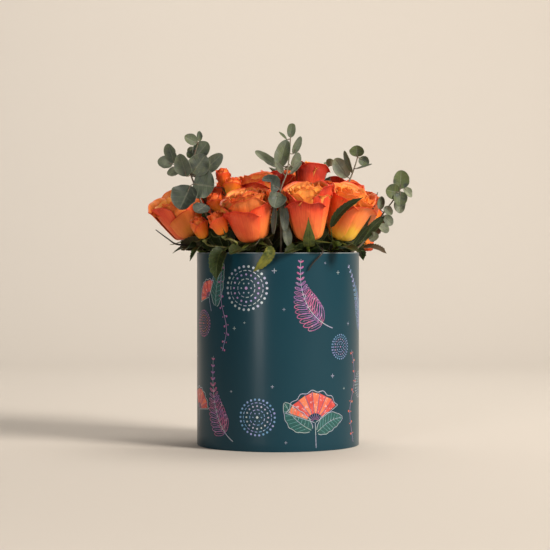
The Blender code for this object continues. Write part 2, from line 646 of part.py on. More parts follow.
# A branch's twigs are side shoots of the stem that carry leaves too
Branch = namedtuple("Branch", "name entry route twigs leaves")
BRANCHES = (
    Branch("eucalyptus_left", (-44, -24),
           ((-62, -34, 216), (-77, -46, 250), (-89, -52, 281), (-92, -53, 292), (-89, -52, 306), (-84, -51, 323)),
           (((-92, -53, 290), (-103, -52, 296), (-109, -52, 300)),),
           (Leaf((-89, -57, 279), (-67, -62, 276), 31, 15, 15), Leaf((-92, -57, 277), (-103, -64, 252), 27, -20, 10),
            Leaf((-96, -58, 287), (-103, -65, 310), 18, -20, 5), Leaf((-90, -56, 290), (-76, -59, 309), 23, 15, 10),
            Leaf((-87, -49, 307), (-74, -50, 323), 18, 10, 25), Leaf((-109, -55, 301), (-116, -60, 321), 15, -30, 0),
            Leaf((-111, -49, 300), (-127, -46, 304), 14, -20, 20), Leaf((-103, -49, 294), (-117, -48, 290), 11, 0, 30),
            Leaf((-80, -46, 291), (-59, -44, 311), 15, 20, 5), Leaf((-85, -54, 322), (-98, -58, 329), 12, -10, 20),
            Leaf((-83, -50, 324), (-83, -47, 335), 6, 20, 0), Leaf((-89, -50, 315), (-95, -47, 307), 9, 0, -20),
            Leaf((-76, -52, 257), (-86, -68, 249), 15, 0, 45))),
    Branch("eucalyptus_middle", (0, -52),
           ((3, -63, 212), (3, -74, 236), (2, -79, 256), (3, -78, 272), (9, -62, 290), (12, -54, 310), (13, -50, 328)),
           (),
           (Leaf((1, -83, 273), (-16, -89, 284), 18, -15, 20), Leaf((0, -84, 269), (-4, -95, 253), 20, 10, 25),
            Leaf((6, -83, 260), (7, -84, 229), 10, 15, 0), Leaf((-3, -80, 256), (-5, -82, 226), 7, -40, 0),
            Leaf((7, -78, 236), (11, -82, 213), 10, 20, 20), Leaf((13, -51, 328), (15, -50, 344), 9, 0, 0),
            Leaf((9, -51, 326), (1, -50, 334), 4, 0, 60), Leaf((16, -52, 311), (24, -52, 329), 8, 20, 0),
            Leaf((1, -62, 296), (9, -59, 325), 16, -10, 10), Leaf((0, -54, 297), (-24, -48, 314), 11, 0, 40),
            Leaf((15, -54, 297), (22, -49, 312), 11, 30, 0), Leaf((5, -67, 290), (-3, -72, 301), 7, 0, 20),
            Leaf((13, -61, 289), (25, -60, 302), 5, 10, 40))),
    Branch("eucalyptus_right", (48, -12),
           ((62, -14, 216), (70, -14, 250), (74, -12, 276), (80, -8, 292), (85, -5, 307), (86, -4, 315)),
           (),
           (Leaf((75, -7, 288), (61, -6, 308), 17, -15, 10), Leaf((79, -12, 293), (71, -15, 316), 7, 50, 0),
            Leaf((85, -8, 310), (85, -10, 322), 16, -10, 10), Leaf((88, -5, 309), (97, -6, 301), 11, 10, 0),
            Leaf((84, -9, 297), (101, -12, 302), 4, 0, 60))),
    Branch("eucalyptus_low_right", (52, -22),
           ((72, -26, 202), (90, -28, 217), (105, -26, 238), (114, -22, 251), (122, -18, 261), (130, -15, 273),
            (132, -14, 281)),
           (),
           (Leaf((131, -18, 275), (133, -20, 294), 16, 10, 10), Leaf((128, -21, 271), (115, -27, 274), 16, -20, 0),
            Leaf((130, -21, 268), (129, -26, 257), 13, 0, 20), Leaf((135, -13, 276), (145, -11, 267), 9, 30, 0),
            Leaf((128, -11, 266), (135, -6, 254), 11, 20, -20), Leaf((114, -25, 256), (121, -28, 247), 9, 0, 20),
            Leaf((113, -17, 246), (123, -12, 237), 11, 20, 10), Leaf((108, -25, 236), (118, -24, 229), 11, 20, 20),
            Leaf((97, -30, 222), (107, -34, 224), 12, 10, 30), Leaf((109, -22, 253), (111, -21, 267), 8, 0, 10))),
)
# Branches that no photograph shows, by a rule: pairs of leaves, each pair turned a quarter from the last
Plain = namedtuple("Plain", "name entry route pairs first_width last_width seed")
PLAIN_BRANCHES = (
    Plain("eucalyptus_back", (2, 44), ((2, 48, 222), (4, 48, 262), (4, 52, 292), (6, 58, 320)), 3, 20, 9, 3),
    Plain("eucalyptus_back_left", (-38, 34), ((-66, 30, 226), (-74, 32, 262), (-82, 36, 288), (-92, 42, 312)),
          3, 22, 10, 5),
    Plain("eucalyptus_back_right", (34, 34), ((44, 40, 222), (47, 43, 256), (50, 47, 280), (55, 52, 300)),
          3, 19, 9, 7),
)


def paired_leaves(route, branch):
    """Leaves in opposite pairs up the last stretch of a branch, smaller and steeper towards its tip."""
    draw = np.random.default_rng(branch.seed)
    rows = []
    for pair in range(branch.pairs):
        share = 0.56 + 0.44 * pair / max(branch.pairs - 1, 1)
        place = share * (len(route) - 1)
        low = min(int(place), len(route) - 2)
        start = route[low] + (place - low) * (route[low + 1] - route[low])
        axes = frame_along(route[low + 1] - route[low], 90.0 * pair + draw.uniform(-15, 15))
        width = branch.first_width + (branch.last_width - branch.first_width) * pair / max(branch.pairs - 1, 1)
        for side in (1.0, -1.0):
            out = unit(side * axes[:, 0] + (0.5 + 0.5 * share) * axes[:, 2])
            face = unit(axes[:, 2] - 0.6 * side * axes[:, 0] + 0.2 * side * axes[:, 1])
            begin = start + out * 0.0035
            rows.append((begin, begin + out * width * 1.05 * MM, width * MM, face))
    return rows


def eucalyptus(branch, home, material):
    """A branch of eucalyptus: a tapering stem, and leaves that grow from it, some on a stalk of their own."""
    entry = np.array((branch.entry[0] * MM, branch.entry[1] * MM, FOAM_TOP))
    route = [foot_of(entry), entry, *(bent_clear(metres(p), TWIG_STEM + 0.0012) for p in branch.route)]
    radii = np.linspace(TWIG_STEM, 0.8 * TWIG_STEM, len(route))
    work = new_collection("green")
    body = tube("stem", route, radii, bpy.context.scene.collection, 0)
    lines = [route]
    for places in getattr(branch, "twigs", ()):
        lines.append([metres(p) for p in places])
        tube("twig", lines[-1], [0.75 * TWIG_STEM] * len(places), work, 0)
    if isinstance(branch, Plain):
        leaves = paired_leaves(route, branch)
    else:
        leaves = [(metres(leaf.start), metres(leaf.tip), leaf.width * MM, face_vector(leaf.yaw, leaf.pitch))
                  for leaf in branch.leaves]
    for start, tip, width, face in leaves:
        root = min((nearest_on(line, start) for line in lines), key=lambda place: np.linalg.norm(place - start))
        round_leaf(root + unit(start - root) * ROOT_OFFSET, start, tip, width, face, work)
    fused(branch.name, body, work, material, home)
    return entry, TWIG_STEM


def main():
    for obj in list(bpy.data.objects):
        bpy.data.objects.remove(obj)
    home = new_collection("rose_box")
    board = new_material("printed_board", (0.02, 0.06, 0.08), 0.35)
    paper = new_material("plain_board", (0.75, 0.73, 0.68), 0.7)
    film = new_material("liner_film", (0.80, 0.85, 0.86), 0.15)
    foam = new_material("wet_foam", (0.05, 0.16, 0.08), 0.95)
    petal = new_material("rose_petal", (0.90, 0.20, 0.04), 0.5)
    small_petal = new_material("spray_petal", (0.92, 0.27, 0.03), 0.5)
    green = new_material("rose_green", (0.10, 0.18, 0.04), 0.5)
    grey_green = new_material("eucalyptus", (0.19, 0.25, 0.20), 0.6)

    drum_wall(home, board)
    drum_foot(home, paper)
    drum_liner(home, film)
    stems = [rose_stem(rose, home, green) for rose in ROSES]
    stems += [spray_stem(spray, home, green) for spray in SPRAYS]
    stems += [eucalyptus(branch, home, grey_green) for branch in BRANCHES + PLAIN_BRANCHES]
    for rose in ROSES:
        bloom(rose, (4, 3) if rose.outer == 5 else (3, 3), (3, 2), home, petal)
    for rose in BUDS:
        bloom(rose, (3, 2), None, home, small_petal)
    foam_block(home, foam, stems)


main()
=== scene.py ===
"""The looks of a round rose box: a foil-printed board drum filled with roses, spray roses and eucalyptus.

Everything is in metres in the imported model's frame. The drum's axis is Z, its foot stands on Z = 0 and its
front faces -Y. Tables of places are in millimetres.
"""
from collections.abc import Sequence
from dataclasses import dataclass, field
from enum import Enum
import logging
import math

import bpy
import numpy as np
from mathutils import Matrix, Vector
from numpy.typing import NDArray


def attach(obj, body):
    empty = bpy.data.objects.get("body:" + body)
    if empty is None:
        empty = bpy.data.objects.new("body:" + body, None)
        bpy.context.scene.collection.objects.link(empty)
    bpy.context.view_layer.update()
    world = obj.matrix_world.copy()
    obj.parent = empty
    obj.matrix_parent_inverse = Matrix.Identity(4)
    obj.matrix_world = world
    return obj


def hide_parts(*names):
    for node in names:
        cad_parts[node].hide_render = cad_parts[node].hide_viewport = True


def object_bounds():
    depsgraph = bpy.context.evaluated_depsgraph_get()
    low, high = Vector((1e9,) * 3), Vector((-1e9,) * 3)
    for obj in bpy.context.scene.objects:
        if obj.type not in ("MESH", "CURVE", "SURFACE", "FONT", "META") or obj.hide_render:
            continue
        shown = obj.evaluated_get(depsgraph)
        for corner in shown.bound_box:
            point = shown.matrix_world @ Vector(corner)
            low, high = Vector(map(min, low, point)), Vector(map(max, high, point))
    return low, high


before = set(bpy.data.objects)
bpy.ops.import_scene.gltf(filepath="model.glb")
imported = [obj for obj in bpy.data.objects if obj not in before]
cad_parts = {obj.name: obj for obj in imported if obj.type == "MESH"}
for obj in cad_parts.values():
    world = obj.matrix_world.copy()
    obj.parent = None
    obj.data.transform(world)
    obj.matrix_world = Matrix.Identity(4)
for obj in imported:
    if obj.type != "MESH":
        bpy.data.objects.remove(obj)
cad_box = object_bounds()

Array = NDArray[np.float64]
Colour = tuple[float, float, float]
Stops = tuple[tuple[float, Colour], ...]
Place = tuple[float, float, float]
FlatPlace = tuple[float, float]

log = logging.getLogger("rose_box")

MM = 0.001
UP = np.array((0.0, 0.0, 1.0))

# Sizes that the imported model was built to
BOX_RADIUS = 0.0875
BOX_HEIGHT = 0.207
BOARD = 0.0025
FIT_GAP = 0.0003
LINER_WALL = 0.0008
FOAM_TOP = 0.186
LINER_TOP = FOAM_TOP + 0.004
STEM_DEPTH = 0.045
FOOT_SPREAD = 0.88
ROSE_STEM = 0.0023
SPRAY_STEM = 0.0016
TWIG_STEM = 0.0014
FORK_STEM = 0.0012
HIP_HEIGHT = 0.009
HIP_RADIUS = 0.0052
HIP_GAP = 0.0007
SMALL_HIP = 0.6
FOOT_START = 0.012
PETAL_STEP = 0.055
FLARE_REACH = 0.30
ENTRY_SHARE = 0.62
INNER_ENTRY_SHARES = {"middle_left": 0.8, "middle_right": 0.75, "inner_right": 0.7, "centre": 0.8,
                      "inner_left": 0.7}

# What leaves and stems keep clear of a bloom's cup, and how thick a leaf is
LEAF_CLEARANCE = 0.0024
STEM_CLEARANCE = 0.0026
LEAF_THICK = 0.0004


# Small maths

def metres(places: Sequence[float] | Sequence[Place]) -> Array:
    """One or more places in millimetres, as an array in metres."""
    return np.array(places, float) * MM


def unit(vectors: Array) -> Array:
    """Each vector along the last axis, at length 1."""
    return vectors / np.maximum(np.linalg.norm(vectors, axis=-1, keepdims=True), 1e-12)


def smooth(values: Array | float, low: float, high: float) -> Array:
    """0 below low, 1 above high, and an even S between: 3x^2 - 2x^3."""
    x = np.clip((values - low) / (high - low), 0.0, 1.0)
    return x * x * (3.0 - 2.0 * x)


def turn_angles(count: int) -> Array:
    """count angles in radians, evenly round a full turn."""
    return np.linspace(0.0, 2.0 * np.pi, count, endpoint=False)


def on_circle(angles: Array | float) -> Array:
    """Flat places at those angles on a circle of radius 1."""
    return np.stack((np.cos(angles), np.sin(angles)), -1)


def about_axis(radius: Array | float, angle: Array | float, height: Array | float) -> Array:
    """Places at those radii, angles and heights about Z. The front, -Y, is at minus a quarter turn."""
    return np.stack(np.broadcast_arrays(radius * np.cos(angle), radius * np.sin(angle), height), -1)


def left_of(ways: Array) -> Array:
    """Flat directions, turned a quarter turn to the left."""
    return np.stack((-ways[..., 1], ways[..., 0]), -1)


def arc_place(s: Array | float, start: Array, bend: Array, end: Array) -> Array:
    """Places at share s of the quadratic arc from start to end that is pulled towards bend."""
    return (1 - s) ** 2 * start + 2 * s * (1 - s) * bend + s ** 2 * end


def arc_way(s: Array | float, start: Array, bend: Array, end: Array) -> Array:
    """The direction of that arc at share s, at length 1."""
    return unit((1 - s) * (bend - start) + s * (end - bend))


def ripple(values: Array, waves: int, seed: int) -> Array:
    """An uneven wave between about -1 and 1: sines of 1, 2, 3... turns with drawn phases and fading heights.

    Args:
        values: where the wave is read, in radians of its slowest sine.
        waves: how many sines are added up.
        seed: fixes the drawn phases and heights.

    Returns:
        The wave's height at each value.
    """
    draw = np.random.default_rng(seed)
    turns = np.arange(1, waves + 1)
    heights = draw.uniform(0.5, 1.0, waves) / turns ** 0.6
    phases = draw.uniform(0.0, 2.0 * np.pi, waves)
    return (heights * np.sin(values[..., None] * turns + phases)).sum(-1) / heights.sum()


def frame_along(axis: Array, turn_deg: float) -> Array:
    """Three unit axes: the third along axis, and the first to the front, turned towards +X.

    Args:
        axis: the way of the third.
        turn_deg: how far the first is turned.

    Returns:
        The axes, as columns.
    """
    axis = unit(axis)
    front = unit(np.array((0.0, -1.0, 0.0)) + axis[1] * axis)
    turn = math.radians(turn_deg)
    first = math.cos(turn) * front + math.sin(turn) * np.cross(axis, front)
    return np.column_stack((first, np.cross(axis, first), axis))


def smooth_line(points: Sequence[Array], count: int) -> Array:
    """A smooth line through points: on each stretch, the cubic with the slope of its neighbours' chord.

    Args:
        points: the places that the line passes.
        count: how many places are read off it, evenly from point to point.

    Returns:
        count places along the line.
    """
    knots = np.array(points)
    last = len(knots) - 1
    where = np.linspace(0.0, last, count)
    low = np.minimum(where.astype(int), last - 1)
    x = (where - low)[:, None]
    before, first = knots[np.maximum(low - 1, 0)], knots[low]
    second, after = knots[low + 1], knots[np.minimum(low + 2, last)]
    return first + 0.5 * x * (second - before + x * (2 * before - 5 * first + 4 * second - after
                                                     + x * (3 * (first - second) + after - before)))


def face_vector(yaw_deg: float, pitch_deg: float) -> Array:
    """The way a leaf faces: yaw 0 is the front, -Y, and grows towards +X. Pitch is upwards."""
    yaw, pitch = math.radians(yaw_deg), math.radians(pitch_deg)
    return np.array((math.sin(yaw) * math.cos(pitch), -math.cos(yaw) * math.cos(pitch), math.sin(pitch)))


def kept_inside(points: Array, give: float = 0.003) -> Array:
    """Each place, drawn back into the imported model's box.

    The last stretch before a side, give long, takes in all that lies further out: x goes to 1 - e^-x of it.

    Args:
        points: the places, n by 3.
        give: the length of that stretch.

    Returns:
        The moved places.
    """
    def move(beyond: Array) -> Array:
        """How far a place is moved that lies that far beyond the start of the stretch."""
        return beyond - give * (1.0 - np.exp(-beyond / give))

    low, high = (np.array(corner) for corner in cad_box)
    past_low = np.maximum(low + give - points, 0.0) * (1.0, 1.0, 0.0)
    past_high = np.maximum(points - (high - give), 0.0)
    return points + move(past_low) - move(past_high)


# Meshes

def add_object(name: str, data: bpy.types.ID) -> bpy.types.Object:
    """A new object of that mesh, light or camera in the scene."""
    made = bpy.data.objects.new(name, data)
    bpy.context.scene.collection.objects.link(made)
    return made


@dataclass
class Solid:
    """A mesh gathered from closed grids, with named numbers at its points for its finish to read."""

    name: str
    channels: tuple[str, ...] = ()
    points: list[Array] = field(default_factory=list)
    faces: list[list[int]] = field(default_factory=list)
    slots: list[int] = field(default_factory=list)
    values: list[Array] = field(default_factory=list)
    count: int = 0

    def add(self, points: Array, faces: Sequence[Array], slot: int = 0, **values: Array | float) -> None:
        """Adds a closed form.

        Args:
            points: its places, n by 3.
            faces: arrays of its faces' corners, each row a face.
            slot: the finish that its faces take.
            values: the number of each channel at each point, or one for all. A channel left out is 0.
        """
        for group in faces:
            self.faces += (group + self.count).tolist()
            self.slots += [slot] * len(group)
        self.points.append(points)
        numbers = np.zeros((len(points), len(self.channels)))
        for column, name in enumerate(self.channels):
            numbers[:, column] = values.get(name, 0.0)
        self.values.append(numbers)
        self.count += len(points)

    def add_sheet(self, grid: Array, thickness: Array | float, slot: int = 0,
                  **values: Array | float) -> None:
        """Adds a thin closed shell about a grid of places. Its outer side is where columns x rows points.

        Args:
            grid: rows by columns by 3. Rows run along the sheet and columns across it.
            thickness: its wall, one number or one for each place.
            slot: the finish that its faces take.
            values: numbers by place, rows by columns. The channel "inside" is 1 on the inner side.
        """
        rows, columns = grid.shape[:2]
        normal = unit(np.cross(np.gradient(grid, axis=1), np.gradient(grid, axis=0)))
        half = 0.5 * np.broadcast_to(thickness, (rows, columns))[..., None] * normal
        points = np.concatenate(((grid + half).reshape(-1, 3), (grid - half).reshape(-1, 3)))
        index = np.arange(rows * columns).reshape(rows, columns)
        outer = np.stack((index[:-1, :-1], index[:-1, 1:], index[1:, 1:], index[1:, :-1]), -1).reshape(-1, 4)
        edge = np.concatenate((index[0, :-1], index[:-1, -1], index[-1, :0:-1], index[:0:-1, 0]))
        ahead = np.roll(edge, -1)
        rim = np.stack((ahead, edge, edge + rows * columns, ahead + rows * columns), -1)
        both = {name: np.tile(np.broadcast_to(value, (rows, columns)).ravel(), 2)
                for name, value in values.items()}
        both["inside"] = np.repeat((0.0, 1.0), rows * columns)
        self.add(points, (outer, outer[:, ::-1] + rows * columns, rim), slot, **both)

    def add_tube(self, path: Array, radii: Array | float, sides: int = 8, slot: int = 0,
                 **values: Array | float) -> None:
        """Adds a round bar along a path: at each place, a ring of points square to the path, with flat ends.

        Args:
            path: its places, n by 3.
            radii: its radius at each place, or one for all.
            sides: how many points a ring has.
            slot: the finish that its faces take.
            values: numbers for all of it, or one at each place of the path.
        """
        count = len(path)
        tangent = unit(np.gradient(path, axis=0))
        lean = np.abs(tangent).mean(0)
        side = unit(np.cross(tangent, np.eye(3)[int(lean.argmin())]))
        other = np.cross(tangent, side)
        turn = turn_angles(sides)[None, :, None]
        ring = np.cos(turn) * side[:, None] + np.sin(turn) * other[:, None]
        reach = np.broadcast_to(radii, (count,))[:, None, None]
        spread = {name: np.repeat(np.broadcast_to(value, (count,)), sides) for name, value in values.items()}
        self.add_loops(path[:, None] + reach * ring, slot, **spread)

    def add_loops(self, grid: Array, slot: int = 0, **values: Array | float) -> None:
        """Adds a closed form of loops of points, each joined to the next, with a face over each end.

        Args:
            grid: loops by points by 3. Seen from the last loop, each loop turns anticlockwise.
            slot: the finish that its faces take.
            values: numbers by point.
        """
        count, sides = grid.shape[:2]
        index = np.arange(count * sides).reshape(count, sides)
        ahead = np.roll(index, -1, axis=1)
        skin = np.stack((index[:-1], ahead[:-1], ahead[1:], index[1:]), -1).reshape(-1, 4)
        self.add(grid.reshape(-1, 3), (skin, index[:1, ::-1], index[-1:]), slot, **values)

    def add_turned(self, profile: Array, steps: int, slots: Sequence[int] | None = None,
                   wobble: Array | None = None) -> None:
        """Adds a ring: a closed profile turned about Z. Its places are (radius, height), anticlockwise.

        Args:
            profile: its places, n by 2.
            steps: how many times the profile is repeated round the axis.
            slots: the finish of the face that follows each place. All 0 if left out.
            wobble: what is added to each radius, profile by steps.
        """
        radius = profile[:, :1] + (0.0 if wobble is None else wobble)
        grid = about_axis(radius, turn_angles(steps), profile[:, 1:])
        index = np.arange(len(profile) * steps).reshape(-1, steps)
        ahead, above = np.roll(index, -1, axis=1), np.roll(index, -1, axis=0)
        quads = np.stack((index, ahead, np.roll(ahead, -1, axis=0), above), -1)
        start = len(self.slots)
        self.add(grid.reshape(-1, 3), (quads.reshape(-1, 4),))
        if slots is not None:
            self.slots[start:] = np.repeat(slots, steps).tolist()

    def make(self, finishes: Sequence[bpy.types.Material], record_slot: str, *replaced: str,
             sharp_deg: float = 60.0) -> None:
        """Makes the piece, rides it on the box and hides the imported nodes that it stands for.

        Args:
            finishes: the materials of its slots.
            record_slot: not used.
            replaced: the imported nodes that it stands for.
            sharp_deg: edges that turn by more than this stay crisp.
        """
        mesh = bpy.data.meshes.new(self.name)
        mesh.from_pydata(kept_inside(np.concatenate(self.points)), [], self.faces)
        mesh.polygons.foreach_set("material_index", np.array(self.slots, np.int32))
        for name, numbers in zip(self.channels, np.concatenate(self.values).T):
            mesh.attributes.new(name, "FLOAT", "POINT").data.foreach_set("value", numbers.astype(np.float32))
        for finish in finishes:
            mesh.materials.append(finish)
        mesh.shade_smooth()
        mesh.set_sharp_from_angle(angle=math.radians(sharp_deg))
        piece = add_object(self.name, mesh)
        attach(piece, "root")
        if replaced:
            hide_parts(*replaced)
        log.info("%s: %d points, %d faces", self.name, self.count, len(self.faces))


# Finishes

class Wire:
    """An output of a node, on which maths is written as Python expressions."""

    def __init__(self, graph: "Graph", socket: bpy.types.NodeSocket) -> None:
        """Holds the socket and the graph that it belongs to."""
        self.graph = graph
        self.socket = socket

    def maths(self, operation: str, first: "Wire | float", second: "Wire | float") -> "Wire":
        """A Math node on two values."""
        return self.graph.node("ShaderNodeMath", {"operation": operation}, {0: first, 1: second})

    def __add__(self, other: "Wire | float") -> "Wire":
        """self + other."""
        return self.maths("ADD", self, other)

    __radd__ = __add__

    def __sub__(self, other: "Wire | float") -> "Wire":
        """self - other."""
        return self.maths("SUBTRACT", self, other)

    def __rsub__(self, other: "Wire | float") -> "Wire":
        """other - self."""
        return self.maths("SUBTRACT", other, self)

    def __mul__(self, other: "Wire | float") -> "Wire":
        """self * other."""
        return self.maths("MULTIPLY", self, other)

    __rmul__ = __mul__

    def __abs__(self) -> "Wire":
        """abs(self)."""
        return self.maths("ABSOLUTE", self, 0.0)


class Graph:
    """The node tree of one material, about a Principled shader."""

    def __init__(self, name: str, **fixed: float | Sequence[float]) -> None:
        """Starts a material.

        Args:
            name: the material's name.
            fixed: values of the shader's sockets that are the same all over, with _ for a space.
        """
        self.material = bpy.data.materials.new(name)
        self.material.use_nodes = True
        self.tree = self.material.node_tree
        self.shader = self.tree.nodes["Principled BSDF"]
        for socket, value in fixed.items():
            self.shader.inputs[socket.replace("_", " ")].default_value = value

    def node(self, kind: str, settings: dict[str, object] | None = None,
             inputs: dict[int | str, object] | None = None, output: int | str = 0) -> Wire:
        """Adds a node.

        Args:
            kind: the node's type.
            settings: its properties, set first. "stops" holds the places and colours of a ramp.
            inputs: values or wires of its sockets, by number, name or identifier.
            output: the output that is wanted.

        Returns:
            That output.
        """
        made = self.tree.nodes.new(kind)
        for name, value in (settings or {}).items():
            if name == "stops":
                self.set_stops(made.color_ramp, value)
            else:
                setattr(made, name, value)
        for key, value in (inputs or {}).items():
            socket = self.find(made.inputs, key)
            if isinstance(value, Wire):
                self.tree.links.new(value.socket, socket)
            else:
                socket.default_value = value
        return Wire(self, self.find(made.outputs, output))

    @staticmethod
    def find(sockets: bpy.types.NodeInputs, key: int | str) -> bpy.types.NodeSocket:
        """The socket with that number, identifier or name."""
        if isinstance(key, int):
            return sockets[key]
        return next((socket for socket in sockets if socket.identifier == key), None) or sockets[key]

    @staticmethod
    def set_stops(ramp: bpy.types.ColorRamp, stops: Stops) -> None:
        """Gives a ramp its stops.

        Args:
            ramp: the ramp.
            stops: its places and colours, in order.
        """
        while len(ramp.elements) < len(stops):
            ramp.elements.new(0.5)
        for element, (place, colour) in zip(ramp.elements, stops):
            element.position = place
            element.color = (*colour, 1.0)

    def channel(self, name: str) -> Wire:
        """The number that the mesh carries under that name."""
        return self.node("ShaderNodeAttribute", {"attribute_name": name}, output="Fac")

    def place(self) -> Wire:
        """Object coordinates, which are the frame's own."""
        return self.node("ShaderNodeTexCoord", output="Object")

    def noise(self, scale: float, detail: float = 2.0, vector: Wire | None = None,
              distortion: float = 0.0) -> Wire:
        """Noise between 0 and 1 over the place or another vector, with features of about 1 / scale."""
        return self.node("ShaderNodeTexNoise", None,
                         {"Vector": self.place() if vector is None else vector, "Scale": scale,
                          "Detail": detail, "Distortion": distortion})

    def vector(self, x: Wire | float, y: Wire | float, z: Wire | float) -> Wire:
        """Three numbers as a vector."""
        return self.node("ShaderNodeCombineXYZ", None, {0: x, 1: y, 2: z})

    def ramp(self, value: Wire, stops: Stops) -> Wire:
        """The colour of a value on a ramp."""
        return self.node("ShaderNodeValToRGB", {"stops": stops}, {0: value})

    def step(self, value: Wire, low: float, high: float) -> Wire:
        """0 below low, 1 above high, and an even S between. low may be above high."""
        return self.node("ShaderNodeMapRange", {"interpolation_type": "SMOOTHSTEP"},
                         {"Value": value, "From Min": low, "From Max": high})

    def mix(self, share: Wire | float, first: Wire | Colour, second: Wire | Colour,
            blend: str = "MIX") -> Wire:
        """Two colours mixed: the first at share 0."""
        pair = [side if isinstance(side, Wire) else (*side, 1.0) for side in (first, second)]
        return self.node("ShaderNodeMix", {"data_type": "RGBA", "blend_type": blend},
                         {"Factor_Float": share, "A_Color": pair[0], "B_Color": pair[1]}, "Result_Color")

    def dress(self, colour: Wire | Colour, roughness: Wire | float, height: Wire | None = None,
              depth: float = 0.0001) -> bpy.types.Material:
        """Joins colour, roughness and relief to the shader.

        Args:
            colour: the base colour.
            roughness: the roughness.
            height: the relief, from 0 to 1.
            depth: the relief's depth in metres.

        Returns:
            The finished material.
        """
        sockets = {"Base Color": colour, "Roughness": roughness}
        if height is not None:
            sockets["Normal"] = self.node("ShaderNodeBump", None, {"Height": height, "Distance": depth})
        for name, value in sockets.items():
            target = self.shader.inputs[name]
            if isinstance(value, Wire):
                self.tree.links.new(value.socket, target)
            else:
                target.default_value = (*value, 1.0) if isinstance(value, tuple) else value
        return self.material


@dataclass(frozen=True)
class PetalFinish:
    """A petal: a run of colour on its outer side, another inside, a flushed margin and fine veins."""

    name: str
    outside: Stops
    inside: Stops
    margin: Colour
    vein_shade: Colour = (0.45, 0.16, 0.10)
    roughness: float = 0.42
    relief: float = 0.0012

    def material(self) -> bpy.types.Material:
        """Makes the material.

        It reads across, along, inside, gold, tone and edge, the way to the margin. Patches and veins push the
        place that is read on both runs up and down, and tone pushes the outer one.

        Returns:
            The material.
        """
        graph = Graph(self.name, Subsurface_Weight=0.12, Subsurface_Radius=(1.0, 0.30, 0.08),
                      Subsurface_Scale=0.003, Specular_IOR_Level=0.25)
        across, along, tone = graph.channel("across"), graph.channel("along"), graph.channel("tone")
        gold = graph.channel("gold")
        patches = graph.noise(45.0, 3.0)
        veins = graph.noise(1.0, 4.0, graph.vector(across * 26.0, along * 2.2, tone * 9.0), 0.4)
        level = along + (patches - 0.5) * 0.6 + (veins - 0.5) * 0.3
        golden = graph.ramp(level, self.inside)
        colour = graph.mix(gold, graph.ramp(level + (tone - 0.5) * 0.8, self.outside), golden)
        colour = graph.mix(graph.channel("inside") * (gold * 0.6 + 0.4), colour, golden)
        flush = graph.step(graph.channel("edge") + (patches - 0.5) * 3.0, 2.6, 0.2) * (0.85 - gold * 0.6)
        colour = graph.mix(flush, colour, self.margin)
        colour = graph.mix((veins - 0.35) * 0.45, colour, self.vein_shade, "MULTIPLY")
        height = graph.noise(130.0, 3.0) * 0.8 + veins * 0.08 + graph.noise(900.0) * 0.06
        return graph.dress(colour, self.roughness + (patches - 0.5) * 0.12, height, self.relief)


@dataclass(frozen=True)
class LeafFinish:
    """A leaf: a lighter midrib and margin, side veins that slant towards the tip, and a paler under side.

    wax is the share of its patches of pale wax on a leaf of full tone.
    """

    name: str
    blade: Stops
    midrib: Colour
    under: Colour
    flush: Colour
    vein_pairs: float
    vein_slant: float
    roughness: float
    wax: float = 0.0
    relief: float = 0.001

    def material(self) -> bpy.types.Material:
        """Makes the material.

        It reads across, along, inside, tone and flush. The veins are the crests of a sine that runs along the
        blade and slants with the way out from its midrib.

        Returns:
            The material.
        """
        graph = Graph(self.name, Subsurface_Weight=0.05, Subsurface_Radius=(0.4, 1.0, 0.2),
                      Subsurface_Scale=0.002, Specular_IOR_Level=0.22)
        width, along, tone = abs(graph.channel("across")), graph.channel("along"), graph.channel("tone")
        blotches = graph.noise(130.0, 4.0)
        wave = graph.node("ShaderNodeMath", {"operation": "SINE"},
                          {0: (along - width * self.vein_slant) * (2.0 * math.pi * self.vein_pairs)})
        veins = graph.step(wave, 0.80, 1.0) * graph.step(width, 1.0, 0.75)
        rib = graph.step(width, 0.11, 0.03)
        colour = graph.ramp(tone + (blotches - 0.5) * 1.1, self.blade)
        colour = graph.mix(graph.channel("flush") * graph.step(blotches, 0.3, 0.6), colour, self.flush)
        margin = graph.step(width, 0.90, 0.99) * 0.4
        wax = graph.step(graph.noise(80.0, 4.0), 0.42, 0.66) * self.wax * (tone + 0.15)
        colour = graph.mix(wax, colour, self.under)
        colour = graph.mix(veins * 0.16 + rib * 0.45 + margin, colour, self.midrib)
        colour = graph.mix(graph.channel("inside") * 0.2, colour, self.under)
        height = blotches * 0.6 + graph.noise(700.0) * 0.12 + (1.0 - veins) * 0.15 + (1.0 - rib) * 0.25
        return graph.dress(colour, self.roughness + (blotches - 0.5) * 0.16, height, self.relief)


@dataclass(frozen=True)
class StemFinish:
    """A green or woody stem: streaks along it and a flush of another colour in patches."""

    name: str
    colour: Colour
    streak: Colour

    def material(self) -> bpy.types.Material:
        """Makes the material."""
        graph = Graph(self.name)
        streaks = graph.noise(220.0, 3.0)
        colour = graph.mix(graph.step(streaks, 0.42, 0.68), self.colour, self.streak)
        return graph.dress(colour, 0.45 + streaks * 0.15, graph.noise(1400.0))


@dataclass(frozen=True)
class LaminateFinish:
    """The drum's printed laminate: a deep colour with a soft drift, satin, with its board's faint tooth."""

    name: str
    deep: Colour
    drift: Colour
    tooth: float = 0.000012

    def material(self) -> bpy.types.Material:
        """Makes the material."""
        graph = Graph(self.name, Coat_Weight=0.06, Coat_Roughness=0.12, Specular_IOR_Level=0.22)
        colour = graph.mix(graph.noise(14.0), self.deep, self.drift)
        scuffs = graph.noise(90.0, 4.0)
        return graph.dress(colour, 0.27 + scuffs * 0.03, graph.noise(2600.0), self.tooth)


